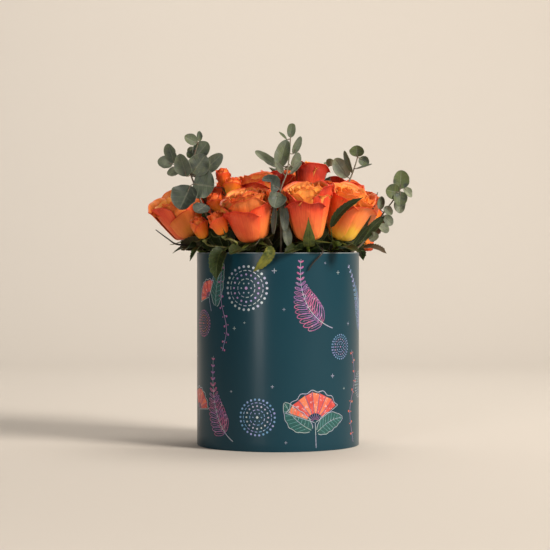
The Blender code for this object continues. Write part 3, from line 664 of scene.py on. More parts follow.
@dataclass(frozen=True)
class FoilFinish:
    """Hot-stamped foil: a metal whose hue drifts along the line, with pale spots painted into its colour as
    painted highlights.
    """

    name: str
    first: Colour
    second: Colour
    metallic: float
    painted_glint: Colour = (0.75, 0.72, 0.82)

    def material(self) -> bpy.types.Material:
        """Makes the material."""
        graph = Graph(self.name, Metallic=self.metallic)
        colour = graph.mix(graph.step(graph.noise(80.0), 0.38, 0.62), self.first, self.second)
        if self.metallic:
            # Pale spots painted into the colour: painted highlights on the foil.
            colour = graph.mix(graph.step(graph.noise(330.0), 0.55, 0.75) * 0.6, colour, self.painted_glint)
        return graph.dress(colour, 0.34 + graph.noise(1800.0) * 0.12)


@dataclass(frozen=True)
class PlainFinish:
    """Board, film or foam: two close colours in patches, with relief of one grain."""

    name: str
    first: Colour
    second: Colour
    roughness: float
    grain: float
    depth: float

    def material(self) -> bpy.types.Material:
        """Makes the material."""
        graph = Graph(self.name)
        cells = graph.noise(self.grain, 4.0)
        return graph.dress(graph.mix(cells, self.first, self.second), self.roughness, cells, self.depth)


class Finishes:
    """Every material of the box and its flowers."""

    def __init__(self) -> None:
        """Makes the materials."""
        self.petal = PetalFinish(
            "rose_petal",
            # The outside run ends in a dark red-brown: in part deeper red rims on red-toned blooms, in part
            # painted shade that darkens middle_right, which sits in the shade of the blooms about it.
            outside=((0.0, (0.84, 0.46, 0.04)), (0.12, (0.88, 0.32, 0.045)), (0.32, (0.90, 0.24, 0.055)),
                     (0.62, (0.88, 0.145, 0.042)), (0.86, (0.74, 0.070, 0.026)), (1.0, (0.44, 0.030, 0.014))),
            inside=((0.0, (0.82, 0.45, 0.04)), (0.55, (0.94, 0.50, 0.09)), (0.85, (0.95, 0.42, 0.08)),
                    (1.0, (0.92, 0.28, 0.060))),
            margin=(0.70, 0.042, 0.030)).material()
        self.spray_petal = PetalFinish(
            "spray_petal",
            outside=((0.0, (0.76, 0.34, 0.02)), (0.2, (0.88, 0.25, 0.020)), (0.55, (0.88, 0.15, 0.018)),
                     (1.0, (0.78, 0.075, 0.018))),
            inside=((0.0, (0.84, 0.46, 0.04)), (0.6, (0.92, 0.38, 0.05)), (1.0, (0.90, 0.24, 0.04))),
            margin=(0.82, 0.085, 0.040)).material()
        self.rose_leaf = LeafFinish(
            "rose_leaf",
            blade=((0.0, (0.006, 0.011, 0.003)), (0.4, (0.017, 0.029, 0.006)), (1.0, (0.085, 0.115, 0.022))),
            midrib=(0.10, 0.13, 0.035), under=(0.040, 0.056, 0.018), flush=(0.30, 0.27, 0.035),
            vein_pairs=8.0, vein_slant=0.16, roughness=0.50).material()
        self.flushed_leaf = LeafFinish(
            "flushed_leaf",
            blade=((0.0, (0.012, 0.012, 0.006)), (0.4, (0.040, 0.036, 0.013)), (1.0, (0.095, 0.080, 0.028))),
            midrib=(0.14, 0.11, 0.05), under=(0.070, 0.055, 0.030), flush=(0.095, 0.028, 0.014),
            vein_pairs=8.0, vein_slant=0.16, roughness=0.45).material()
        self.eucalyptus_leaf = LeafFinish(
            "eucalyptus_leaf",
            blade=((0.0, (0.026, 0.034, 0.032)), (0.2, (0.044, 0.056, 0.050)), (0.42, (0.082, 0.094, 0.066)),
                   (0.65, (0.145, 0.160, 0.100)), (1.0, (0.310, 0.325, 0.215))),
            midrib=(0.19, 0.20, 0.14), under=(0.135, 0.155, 0.130), flush=(0.088, 0.112, 0.022),
            vein_pairs=5.0, vein_slant=0.22, roughness=0.50, wax=0.6).material()
        self.rose_stem = StemFinish("rose_stem", (0.200, 0.280, 0.040), (0.110, 0.150, 0.026)).material()
        self.tendril = StemFinish("tendril", (0.010, 0.008, 0.006), (0.024, 0.016, 0.010)).material()
        self.spray_stem = StemFinish("spray_stem", (0.180, 0.190, 0.045), (0.095, 0.075, 0.024)).material()
        self.twig = StemFinish("twig", (0.16, 0.145, 0.095), (0.120, 0.070, 0.050)).material()
        self.laminate = LaminateFinish("laminate", (0.0045, 0.036, 0.056), (0.0060, 0.043, 0.064)).material()
        self.edge = PlainFinish("cut_edge", (0.12, 0.15, 0.16), (0.19, 0.22, 0.23), roughness=0.75,
                                grain=900.0, depth=0.00006).material()
        self.board = PlainFinish("board", (0.66, 0.63, 0.57), (0.72, 0.70, 0.64), roughness=0.8, grain=500.0,
                                 depth=0.00005).material()
        self.film = PlainFinish("film", (0.62, 0.66, 0.66), (0.72, 0.76, 0.76), roughness=0.22, grain=60.0,
                                depth=0.0008).material()
        self.foam = PlainFinish("foam", (0.020, 0.070, 0.032), (0.045, 0.125, 0.058), roughness=0.95,
                                grain=1300.0, depth=0.0005).material()


# The box

class Foil(Enum):
    """The hues of foil on the wall: the colours that each drifts between, and how far it shines as metal."""

    PINK = ((0.52, 0.115, 0.27), (0.34, 0.14, 0.38), 0.40)
    BLUE = ((0.14, 0.32, 0.54), (0.28, 0.30, 0.60), 0.40)
    VIOLET = ((0.36, 0.30, 0.58), (0.46, 0.24, 0.46), 0.45)
    SILVER = ((0.44, 0.52, 0.52), (0.40, 0.40, 0.56), 0.55)
    CORAL = ((0.74, 0.115, 0.060), (0.70, 0.20, 0.09), 0.10)
    EMBER = ((0.52, 0.050, 0.040), (0.62, 0.075, 0.060), 0.10)
    TEAL = ((0.10, 0.30, 0.27), (0.14, 0.34, 0.36), 0.40)
    SHADE = ((0.008, 0.072, 0.070), (0.012, 0.088, 0.082), 0.0)

    @property
    def title(self) -> str:
        """The name of its piece and of its finish."""
        return f"foil_{self.name.lower()}"


# The stars of the foil design: their middles and sizes
STARS = (
    ((-4, 188), 3.0), ((-48, 128), 2.2), ((70, 186), 2.6), ((62, 78), 2.6), ((-6, 68), 2.0),
    ((88, 132), 2.2), ((-122, 96), 2.8), ((-52, 62), 1.6), ((6, 148), 1.8), ((8, 10), 1.8),
    ((-36, 134), 1.4), ((80, 64), 1.6), ((52, 196), 1.5),
)


@dataclass
class Print:
    """The foil design. Its places are in millimetres on the unrolled wall: round from the front, and up.

    Fern fronds, broad leaves, sprigs, medallions of dots and arcs, fans and small stars stand in two bands,
    above and below a middle band that is bare in front.
    """

    sheets: dict[Foil, Solid] = field(default_factory=lambda: {hue: Solid(hue.title) for hue in Foil})
    raised: float = 0.04 * MM
    sunk: float = 0.06 * MM

    def on_wall(self, flat: Array, radius: float) -> Array:
        """Places on the unrolled wall, carried onto a cylinder of that radius about its axis."""
        return about_axis(radius, flat[..., 0] * MM / BOX_RADIUS - 0.5 * np.pi, flat[..., 1] * MM)

    def line(self, hue: Foil, flat: Array, width: Array | float) -> None:
        """A ribbon of foil along a line, as a bar of four corners that is sunk into the wall.

        Args:
            hue: its foil.
            flat: its places on the unrolled wall, n by 2.
            width: its width in millimetres, one number or one for each place.
        """
        normal = left_of(unit(np.gradient(flat, axis=0)))
        half = 0.5 * np.broadcast_to(width, (len(flat),))[:, None] * normal
        out, inner = BOX_RADIUS + self.raised, BOX_RADIUS - self.sunk
        corners = (self.on_wall(flat + half, out), self.on_wall(flat - half, out),
                   self.on_wall(flat - half, inner), self.on_wall(flat + half, inner))
        self.sheets[hue].add_loops(np.stack(corners, 1))

    def patch(self, hue: Foil, outline: Array) -> None:
        """A small patch inside a closed outline, which turns anticlockwise: two loops, a face over each."""
        self.sheets[hue].add_loops(np.stack((self.on_wall(outline, BOX_RADIUS - self.sunk),
                                             self.on_wall(outline, BOX_RADIUS + 1.5 * self.raised))))

    def area(self, hue: Foil, first: Array, second: Array, columns: int) -> None:
        """A filled area between two lines of as many places. The second lies to the right of the first."""
        share = np.linspace(0.0, 1.0, columns)[None, :, None]
        grid = self.on_wall(first[:, None] + share * (second - first)[:, None], BOX_RADIUS)
        self.sheets[hue].add_sheet(grid, self.raised if hue is Foil.SHADE else 1.6 * self.raised)

    def dot(self, hue: Foil, centre: Array, radius: float) -> None:
        """A small round dot."""
        self.patch(hue, centre + radius * on_circle(turn_angles(10)))

    def frond(self, start: FlatPlace, pull: FlatPlace, end: FlatPlace, reach: float, hue: Foil) -> None:
        """A fern frond: a curved rib, and leaflets drawn as slim loops that shorten towards its tip.

        Args:
            start: the foot of its rib.
            pull: the point that the rib bends towards.
            end: its tip.
            reach: the length of its longest leaflets.
            hue: its foil.
        """
        rib = np.array((start, pull, end), float)
        self.line(Foil.SILVER, arc_place(np.linspace(0.0, 1.0, 30)[:, None], *rib), np.linspace(0.9, 0.4, 30))
        around = np.linspace(0.0, 2.0 * np.pi, 15)[:, None]
        for number, share in enumerate(np.linspace(0.16, 0.97, 15)):
            place, along = arc_place(share, *rib), arc_way(share, *rib)
            swell = 0.45 + 0.55 * math.sin(math.pi * min(1.0, share * 1.25) ** 0.8)
            length = reach * swell * (1.06 - 0.75 * share)
            for side in (-1.0, 1.0):
                out = unit(along * 0.75 + side * left_of(along))
                long, wide = 0.46 * length * out, 0.15 * length * left_of(out)
                loop = place + out * length * 0.54 - np.cos(around) * long + np.sin(around) * wide
                self.line(hue, loop, 0.55 + 0.15 * (number % 2))
                self.line(hue, place + np.linspace(0.0, 0.8, 6)[:, None] * out * length, 0.4)

    def medallion(self, centre: FlatPlace, radius: float, hues: tuple[Foil, Foil]) -> None:
        """Rings about a centre: dots, then short arcs, then dots, growing outwards.

        Args:
            centre: its middle.
            radius: its reach.
            hues: the foil of most of it, and of its middle.
        """
        middle = np.array(centre, float)
        self.dot(hues[1], middle, 0.07 * radius)
        for ring, share in enumerate((0.24, 0.42, 0.62, 0.80, 0.98)):
            count = 6 + 5 * ring
            for number in range(count):
                angle = 2.0 * math.pi * (number + 0.5 * (ring % 2)) / count
                if ring % 2:
                    arc = angle + np.linspace(-0.30, 0.30, 5) * 2.0 * math.pi / count
                    self.line(hues[0], middle + share * radius * on_circle(arc), 0.75)
                else:
                    spot = middle + share * radius * on_circle(angle)
                    self.dot(hues[1] if ring == 2 else hues[0], spot, (0.030 + 0.006 * ring) * radius + 0.12)

    def fan(self, foot: FlatPlace, size: float, lean_deg: float) -> None:
        """A fan-shaped leaf: wedges in two hues, ribs between them, a scalloped rim and a stalk.

        Args:
            foot: where its blade starts.
            size: the length of its ribs.
            lean_deg: how far it leans from upright, towards the right.
        """
        place = np.array(foot, float)
        lean = math.radians(lean_deg)

        def ray(spread: Array, reach: Array) -> Array:
            """Places at that share of the rim's reach and that angle to the right of the fan's middle."""
            scallop = size * (1.0 + 0.035 * np.cos(16.0 * spread))
            return place + (reach * scallop)[:, None] * on_circle(0.5 * np.pi - lean - spread)

        rim = np.linspace(-1.15, 1.15, 61)
        self.line(Foil.SILVER, ray(rim, np.ones(61)), 0.7)
        for side in (-1.15, 1.15):
            self.line(Foil.SILVER, ray(np.full(14, side), np.linspace(0.03, 1.0, 14)), 0.6)
        wedges = np.linspace(-1.12, 1.12, 9)
        reach = np.linspace(0.30, 0.93, 12)
        for number, (start, end) in enumerate(zip(wedges, wedges[1:])):
            inset = 0.045 * (end - start) / reach
            hue = (Foil.CORAL, Foil.EMBER)[number % 2]
            self.area(hue, ray(start + inset, reach), ray(end - inset, reach), 5)
            if number:
                self.line(Foil.PINK, ray(np.full(14, start), np.linspace(0.10, 0.97, 14)), 0.35)
        down = -on_circle(0.5 * np.pi - 0.4 * lean)
        self.line(Foil.SILVER, place + np.linspace(0.0, 1.0, 14)[:, None] ** 1.3 * size * 0.8 * down, 0.6)

    def broad_leaf(self, foot: FlatPlace, tip: FlatPlace, width: float, bow: float) -> None:
        """A broad pointed leaf: a shaded blade in a pale outline, with a midrib and side veins.

        Its half width is a sine of its way up with a soft wave on it, and its midrib bows to the left.

        Args:
            foot: where it starts.
            tip: its point.
            width: its greatest width.
            bow: how far its midrib bows.
        """
        start, end = np.array((foot, tip), float)
        left = left_of(unit(end - start))
        b = np.linspace(0.02, 0.985, 30)
        middle = start + b[:, None] * (end - start) + (bow * np.sin(np.pi * b))[:, None] * left
        half = (0.5 * width * np.sin(np.pi * b ** 0.8) ** 0.75 * (1.0 + 0.05 * np.sin(30.0 * b)))[:, None]
        self.area(Foil.SHADE, middle + half * left, middle - half * left, 12)
        self.line(Foil.SILVER, middle, 0.45)
        for side in (-1.0, 1.0):
            self.line(Foil.SILVER, middle + side * half * left, 0.6)
            for row in range(3, 26, 3):
                ahead = min(row + 4, 29)
                edge = middle[ahead] + side * half[ahead] * left
                out = np.linspace(0.0, 0.86, 8)[:, None]
                self.line(Foil.TEAL, middle[row] + out * (edge - middle[row]), 0.4)

    def sprig(self, places: Sequence[FlatPlace], hue: Foil) -> None:
        """A trailing stem with round buds in pairs, one of each on a short stalk.

        Args:
            places: what the stem passes.
            hue: the buds' foil.
        """
        line = smooth_line(np.array(places, float), 40)
        self.line(Foil.VIOLET, line, 0.5)
        for number, row in enumerate(range(4, 38, 4)):
            along = unit(line[row + 1] - line[row - 1])
            left = left_of(along) * (-1.0) ** number
            bud = line[row] + 3.4 * unit(left + 0.8 * along)
            self.line(Foil.VIOLET, line[row] + np.linspace(0.0, 0.7, 5)[:, None] * (bud - line[row]), 0.35)
            self.dot(hue, bud, 1.15)
            self.dot(hue, line[row] - 2.6 * unit(left - 0.6 * along), 0.7)

    def star(self, centre: FlatPlace, size: float) -> None:
        """A four-pointed star: its reach is its size at each quarter turn, and little between."""
        turn = turn_angles(24)
        reach = size * (0.16 + 0.84 * np.abs(np.cos(2.0 * turn)) ** 5 * (np.cos(4.0 * turn) > -0.2))
        self.patch(Foil.SILVER, np.array(centre) + reach[:, None] * on_circle(turn))

    def build(self) -> None:
        """Lays out the design, once round the front and once round the back, as a piece for each foil."""
        half_way = math.pi * BOX_RADIUS / MM
        for turn, bare in ((0.0, True), (half_way, False)):
            self.medallion((turn - 34, 170), 23, (Foil.SILVER, Foil.VIOLET))
            self.medallion((turn - 98, 132), 14, (Foil.PINK, Foil.CORAL))
            self.medallion((turn + 74, 108), 13, (Foil.BLUE, Foil.VIOLET))
            self.medallion((turn - 22, 36), 19, (Foil.BLUE, Foil.SILVER))
            self.medallion((turn + 120, 66), 14, (Foil.SILVER, Foil.BLUE))
            self.frond((turn + 62, 128), (turn + 18, 142), (turn + 24, 200), 23, Foil.PINK)
            self.frond((turn - 50, 10), (turn - 84, 32), (turn - 78, 98), 20, Foil.PINK)
            self.frond((turn + 130, 112), (turn + 122, 150), (turn + 88, 194), 17, Foil.BLUE)
            self.broad_leaf((turn + 36, 22), (turn + 6, 52), 21, 4)
            self.broad_leaf((turn + 42, 20), (turn + 78, 34), 20, 4)
            self.broad_leaf((turn - 74, 150), (turn - 62, 196), 19, 4)
            self.fan((turn + 40, 30), 33, -6)
            self.fan((turn - 112, 40), 24, 20)
            self.fan((turn - 86, 160), 19, -40)
            self.sprig(((turn + 100, 6), (turn + 92, 40), (turn + 104, 74), (turn + 96, 104)), Foil.CORAL)
            self.sprig(((turn - 64, 204), (turn - 66, 160), (turn - 58, 128), (turn - 64, 104)), Foil.PINK)
            for (across, up), size in STARS:
                self.star((turn + across, up), size)
            if not bare:
                self.medallion((turn, 106), 15, (Foil.SILVER, Foil.PINK))
        for hue, sheet in self.sheets.items():
            first, second, metallic = hue.value
            finish = FoilFinish(hue.title, first, second, metallic).material()
            sheet.make([finish], "printed_board", sharp_deg=30.0)


@dataclass
class Drum:
    """The drum: its laminated wall with a pale cut edge, the board under it, the liner and the wet foam."""

    finishes: Finishes
    rounding: float = 0.0006
    rim_line: float = 0.0010
    turn_in: float = 0.014
    seam_width: float = 0.012
    seam_margin: float = 0.0008
    seam_thick: float = 0.00016
    seam_lift: float = 0.00006
    crease: float = 0.0002
    liner_hole: float = 0.0004
    steps: int = 240

    def wall(self) -> None:
        """The wall: its section is a tall slim rectangle with rounded corners, walked anticlockwise."""
        inner, r = BOX_RADIUS - BOARD, self.rounding
        corner = r * on_circle(np.linspace(0.0, 0.5 * np.pi, 4))
        outside = np.append(np.linspace(r, BOX_HEIGHT - self.rim_line, 24)[1:], BOX_HEIGHT - r)[:-1]
        low_right = np.array((BOX_RADIUS - r, r)) + corner[::-1] * (1, -1)
        high_right = np.array((BOX_RADIUS - r, BOX_HEIGHT - r)) + corner
        high_left = np.array((inner + r, BOX_HEIGHT - r)) + corner[::-1] * (-1, 1)
        low_left = np.array((inner + r, r)) + corner * (-1, -1)
        side = np.stack((np.full(len(outside), BOX_RADIUS), outside), -1)
        fold = np.array(((inner, BOX_HEIGHT - self.turn_in),))
        profile = np.concatenate((low_right, side, high_right, high_left, fold, low_left))
        radius, height = profile.T
        slots = np.where(height > BOX_HEIGHT - self.rim_line - 1e-6, 1, 0)
        slots = np.where((radius < inner + 0.5 * r) & (height <= BOX_HEIGHT - self.turn_in + 1e-6), 2, slots)
        wall = Solid("drum_wall")
        wall.add_turned(profile, self.steps, slots)
        wall.make([self.finishes.laminate, self.finishes.edge, self.finishes.board],
                  "printed_board", "box_wall", sharp_deg=50.0)

    def seam(self) -> None:
        """The laminate's overlap down the back of the wall: a thin flap with soft sides."""
        half = 0.5 * self.seam_width / BOX_RADIUS
        angle = 0.5 * np.pi + np.linspace(-half, half, 9)
        height = np.linspace(self.seam_margin, BOX_HEIGHT - self.seam_margin, 12)[:, None]
        radius = BOX_RADIUS + self.seam_lift * np.array((-2, 1, 1, 1, 1, 1, 1, 1, -2))
        flap = Solid("wall_seam", ("inside",))
        flap.add_sheet(about_axis(radius, angle, height), self.seam_thick)
        flap.make([self.finishes.laminate], "printed_board")

    def liner(self) -> None:
        """The waterproof cup: a thin turned wall with soft creases that fade towards its foot."""
        outer = BOX_RADIUS - BOARD - FIT_GAP
        inner, hole = outer - 0.6 * LINER_WALL, self.liner_hole
        low = BOARD + FIT_GAP
        heights = np.linspace(low, LINER_TOP, 14)
        outside = np.stack((np.full(14, outer), heights), -1)
        inside = np.stack((np.full(13, inner), heights[:0:-1]), -1)
        floor = np.array(((inner, low + LINER_WALL), (hole, low + LINER_WALL), (hole, low)))
        profile = np.concatenate((outside, inside, floor))
        fade = smooth(profile[:, 1], 0.12, LINER_TOP)[:, None]
        creases = -self.crease * fade * (1.0 + ripple(9 * turn_angles(180), 5, 31))
        cup = Solid("liner_cup")
        cup.add_turned(profile, 180, wobble=creases)
        cup.make([self.finishes.film], "liner_film", "liner")

    def build(self) -> None:
        """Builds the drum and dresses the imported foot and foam."""
        self.wall()
        self.seam()
        self.liner()
        for node, finish in (("box_foot", self.finishes.board), ("foam", self.finishes.foam)):
            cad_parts[node].material_slots[0].material = finish
        Print().build()


# Blooms

@dataclass(frozen=True)
class Ring:
    """A ring of petals, in shares of the bloom.

    share is its size, cover how far round its petals reach in degrees, start and top the heights of feet and
    rims, close how far it closes, roll how far rims turn over in radians, and reach the stretch that rolls.
    """

    count: int
    share: float
    cover: float
    start: float
    top: float
    close: float
    roll: float
    reach: float


@dataclass(frozen=True)
class Bloom:
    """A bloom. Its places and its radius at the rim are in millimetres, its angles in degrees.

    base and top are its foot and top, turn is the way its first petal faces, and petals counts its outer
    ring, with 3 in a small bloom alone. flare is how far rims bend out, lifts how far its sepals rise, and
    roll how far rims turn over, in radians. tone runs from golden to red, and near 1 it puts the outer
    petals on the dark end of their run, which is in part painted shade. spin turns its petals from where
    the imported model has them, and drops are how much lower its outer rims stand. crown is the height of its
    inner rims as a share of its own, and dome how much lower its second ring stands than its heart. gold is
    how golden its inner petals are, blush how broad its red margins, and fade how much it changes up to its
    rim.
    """

    name: str
    base: Place
    top: Place
    radius: float
    turn: float
    petals: int
    flare: float
    lifts: tuple[float, ...]
    roll: float = 1.5
    tone: float = 0.5
    seed: int = 1
    spin: float = 0.0
    drops: tuple[float, ...] = (0.15, 0.05, 0.0, 0.05, 0.0)
    crown: float = 1.0
    gold: float = 0.6
    blush: float = 0.7
    dome: float = 0.03
    fade: float = 1.0

    @property
    def reach(self) -> float:
        """Its radius in metres."""
        return self.radius * MM

    @property
    def axis(self) -> Array:
        """From its foot to its top."""
        return metres(self.top) - metres(self.base)

    @property
    def length(self) -> float:
        """Its height in metres."""
        return float(np.linalg.norm(self.axis))

    @property
    def axes(self) -> Array:
        """Its own frame, as columns."""
        return frame_along(self.axis, self.turn)

    def petal_world(self, local: Array) -> Array:
        """Places in the frame of the bloom's petals, which its spin turns, carried to the object's."""
        return metres(self.base) + local @ frame_along(self.axis, self.turn + self.spin).T


def cup_share(t: Array) -> Array:
    """How wide a bloom's cup is at height t, from 0 at its foot to 1 at its rim, as a share of its radius."""
    bowl = np.sqrt(1.0 - (1.0 - np.clip(t / 0.14, 0.0, 1.0)) ** 2)
    return 0.16 + 0.36 * bowl + 0.48 * np.clip(t / 0.85, 0.0, 1.0)


def rim_roll(t: Array) -> Array:
    """How far a rim has turned outwards at height t."""
    return np.clip((t - 0.7) / 0.3, 0.0, 1.0) ** 2


ROSES = (
    Bloom("left", (-95, -16, 223), (-119, -26, 269), 22.0, -40, 5, 0.35, (0.3, 0.1, 0.0, 0.5, 0.2),
          roll=0.7, tone=0.62, seed=11, spin=55, drops=(0.42, 0.03, 0.0, 0.02, 0.12), crown=0.88, gold=0.4,
          blush=0.4, dome=0.0, fade=0.35),
    Bloom("front_left", (-25, -66, 219), (-36, -83, 274), 25.0, 30, 5, 0.25, (0.1, 0.5, 0.2, 0.4, 0.0),
          roll=1.4, tone=0.74, seed=12, spin=-55, drops=(0.27, 0.25, 0.14, 0.10, 0.17), gold=0.40, blush=0.9,
          dome=0.08, fade=0.7),
    Bloom("front_right", (32, -66, 219), (30, -80, 281), 23.5, 0, 5, 0.15, (1.1, 0.1, 0.4, 0.3, 0.2),
          tone=0.62, seed=13, spin=-8, drops=(0.22, 0.02, 0.04, 0.04, 0.08), gold=1.0, blush=0.9, dome=0.07),
    Bloom("right_front", (64, -42, 221), (83, -56, 277), 23.5, 40, 5, 0.20, (0.5, 0.2, 0.3, 0.6, 0.4),
          tone=0.25, seed=14, spin=-72, drops=(0.15, 0.22, 0.05, 0.03, 0.05), gold=0.75, blush=0.6,
          dome=0.08),
    Bloom("right", (84, 10, 224), (94, 14, 276), 20.0, 60, 4, 0.30, (0.6, 0.2, 0.3, 0.1, 0.4),
          tone=0.45, seed=15, gold=0.8, blush=0.5),
    Bloom("middle_left", (-21, -14, 240), (-26, -19, 293), 21.0, -25, 4, 0.20, (0.4, 0.1, 0.5, 0.2, 0.3),
          roll=1.6, seed=16),
    # middle_right's tone of 1.0 puts its petals on the dark end of the outside run: painted shade, as it sits
    # in the shade of the blooms about it.
    Bloom("middle_right", (32, -20, 258), (36, -18, 306), 15.5, 20, 4, 0.30, (0.2, 0.5, 0.1, 0.4, 0.3),
          roll=1.2, tone=1.0, seed=17, drops=(0.06, 0.03, 0.0, 0.02, 0.0), blush=0.1),
    Bloom("inner_right", (50, 9, 236), (49, 12, 286), 18.0, 110, 4, 0.20, (0.3, 0.2, 0.4, 0.1, 0.5),
          tone=0.3, seed=18, gold=0.9, blush=0.4),
    Bloom("right_back", (68, 50, 232), (77, 58, 288), 20.5, 130, 4, 0.25, (0.4, 0.3, 0.1, 0.2, 0.5),
          seed=19),
    Bloom("centre", (4, 20, 246), (4, 22, 298), 21.0, 75, 4, 0.20, (0.2, 0.4, 0.3, 0.5, 0.1),
          tone=0.55, seed=20),
    Bloom("back_right", (24, 68, 226), (31, 86, 277), 22.0, 170, 4, 0.25, (0.5, 0.3, 0.2, 0.6, 0.1),
          roll=1.6, seed=21),
    Bloom("back", (-17, 70, 226), (-22, 88, 277), 22.0, 200, 4, 0.25, (0.2, 0.6, 0.3, 0.1, 0.4),
          roll=1.4, tone=0.42, seed=22),
    Bloom("back_left", (-54, 54, 226), (-66, 66, 276), 21.0, 230, 4, 0.25, (0.4, 0.1, 0.5, 0.3, 0.2),
          roll=1.6, tone=0.6, seed=23),
    Bloom("left_back", (-88, 26, 224), (-106, 32, 272), 20.5, 260, 4, 0.30, (0.1, 0.4, 0.2, 0.5, 0.3),
          tone=0.45, seed=24),
    Bloom("inner_left", (-48, 20, 238), (-50, 23, 288), 19.0, 290, 4, 0.20, (0.5, 0.2, 0.3, 0.1, 0.4),
          tone=0.55, seed=25),
)
BUDS = (
    Bloom("bud_1", (-57, -74, 226), (-66, -79, 248), 9.6, 10, 3, 0.30, (0.9, 0.5, 0.7),
          roll=1.2, tone=0.45, seed=31),
    Bloom("bud_2", (-62, -38, 251), (-69, -43, 269), 8.8, -30, 3, 0.30, (0.8, 0.4, 0.6),
          roll=1.2, tone=0.65, seed=32),
    Bloom("bud_3", (-57, -28, 277), (-60, -31, 296), 7.5, 20, 3, 0.25, (0.7, 0.8, 0.4), roll=1.0, seed=33),
    Bloom("bud_4", (-49, -43, 266), (-47, -46, 286), 9.0, 0, 3, 0.40, (0.6, 0.4, 0.8),
          roll=1.4, tone=0.30, seed=34),
    Bloom("bud_5", (-78, -50, 222), (-86, -56, 243), 9.0, 40, 3, 0.30, (0.8, 0.6, 0.3),
          roll=1.2, tone=0.40, seed=35),
    Bloom("bud_6", (92, 32, 219), (104, 37, 213), 6.5, 0, 3, 0.35, (0.5, 0.2, 0.7),
          roll=1.2, tone=0.40, seed=36),
    Bloom("bud_7", (98, 44, 238), (108, 52, 258), 9.5, 30, 3, 0.35, (0.4, 0.8, 0.5), roll=1.2, seed=37),
)


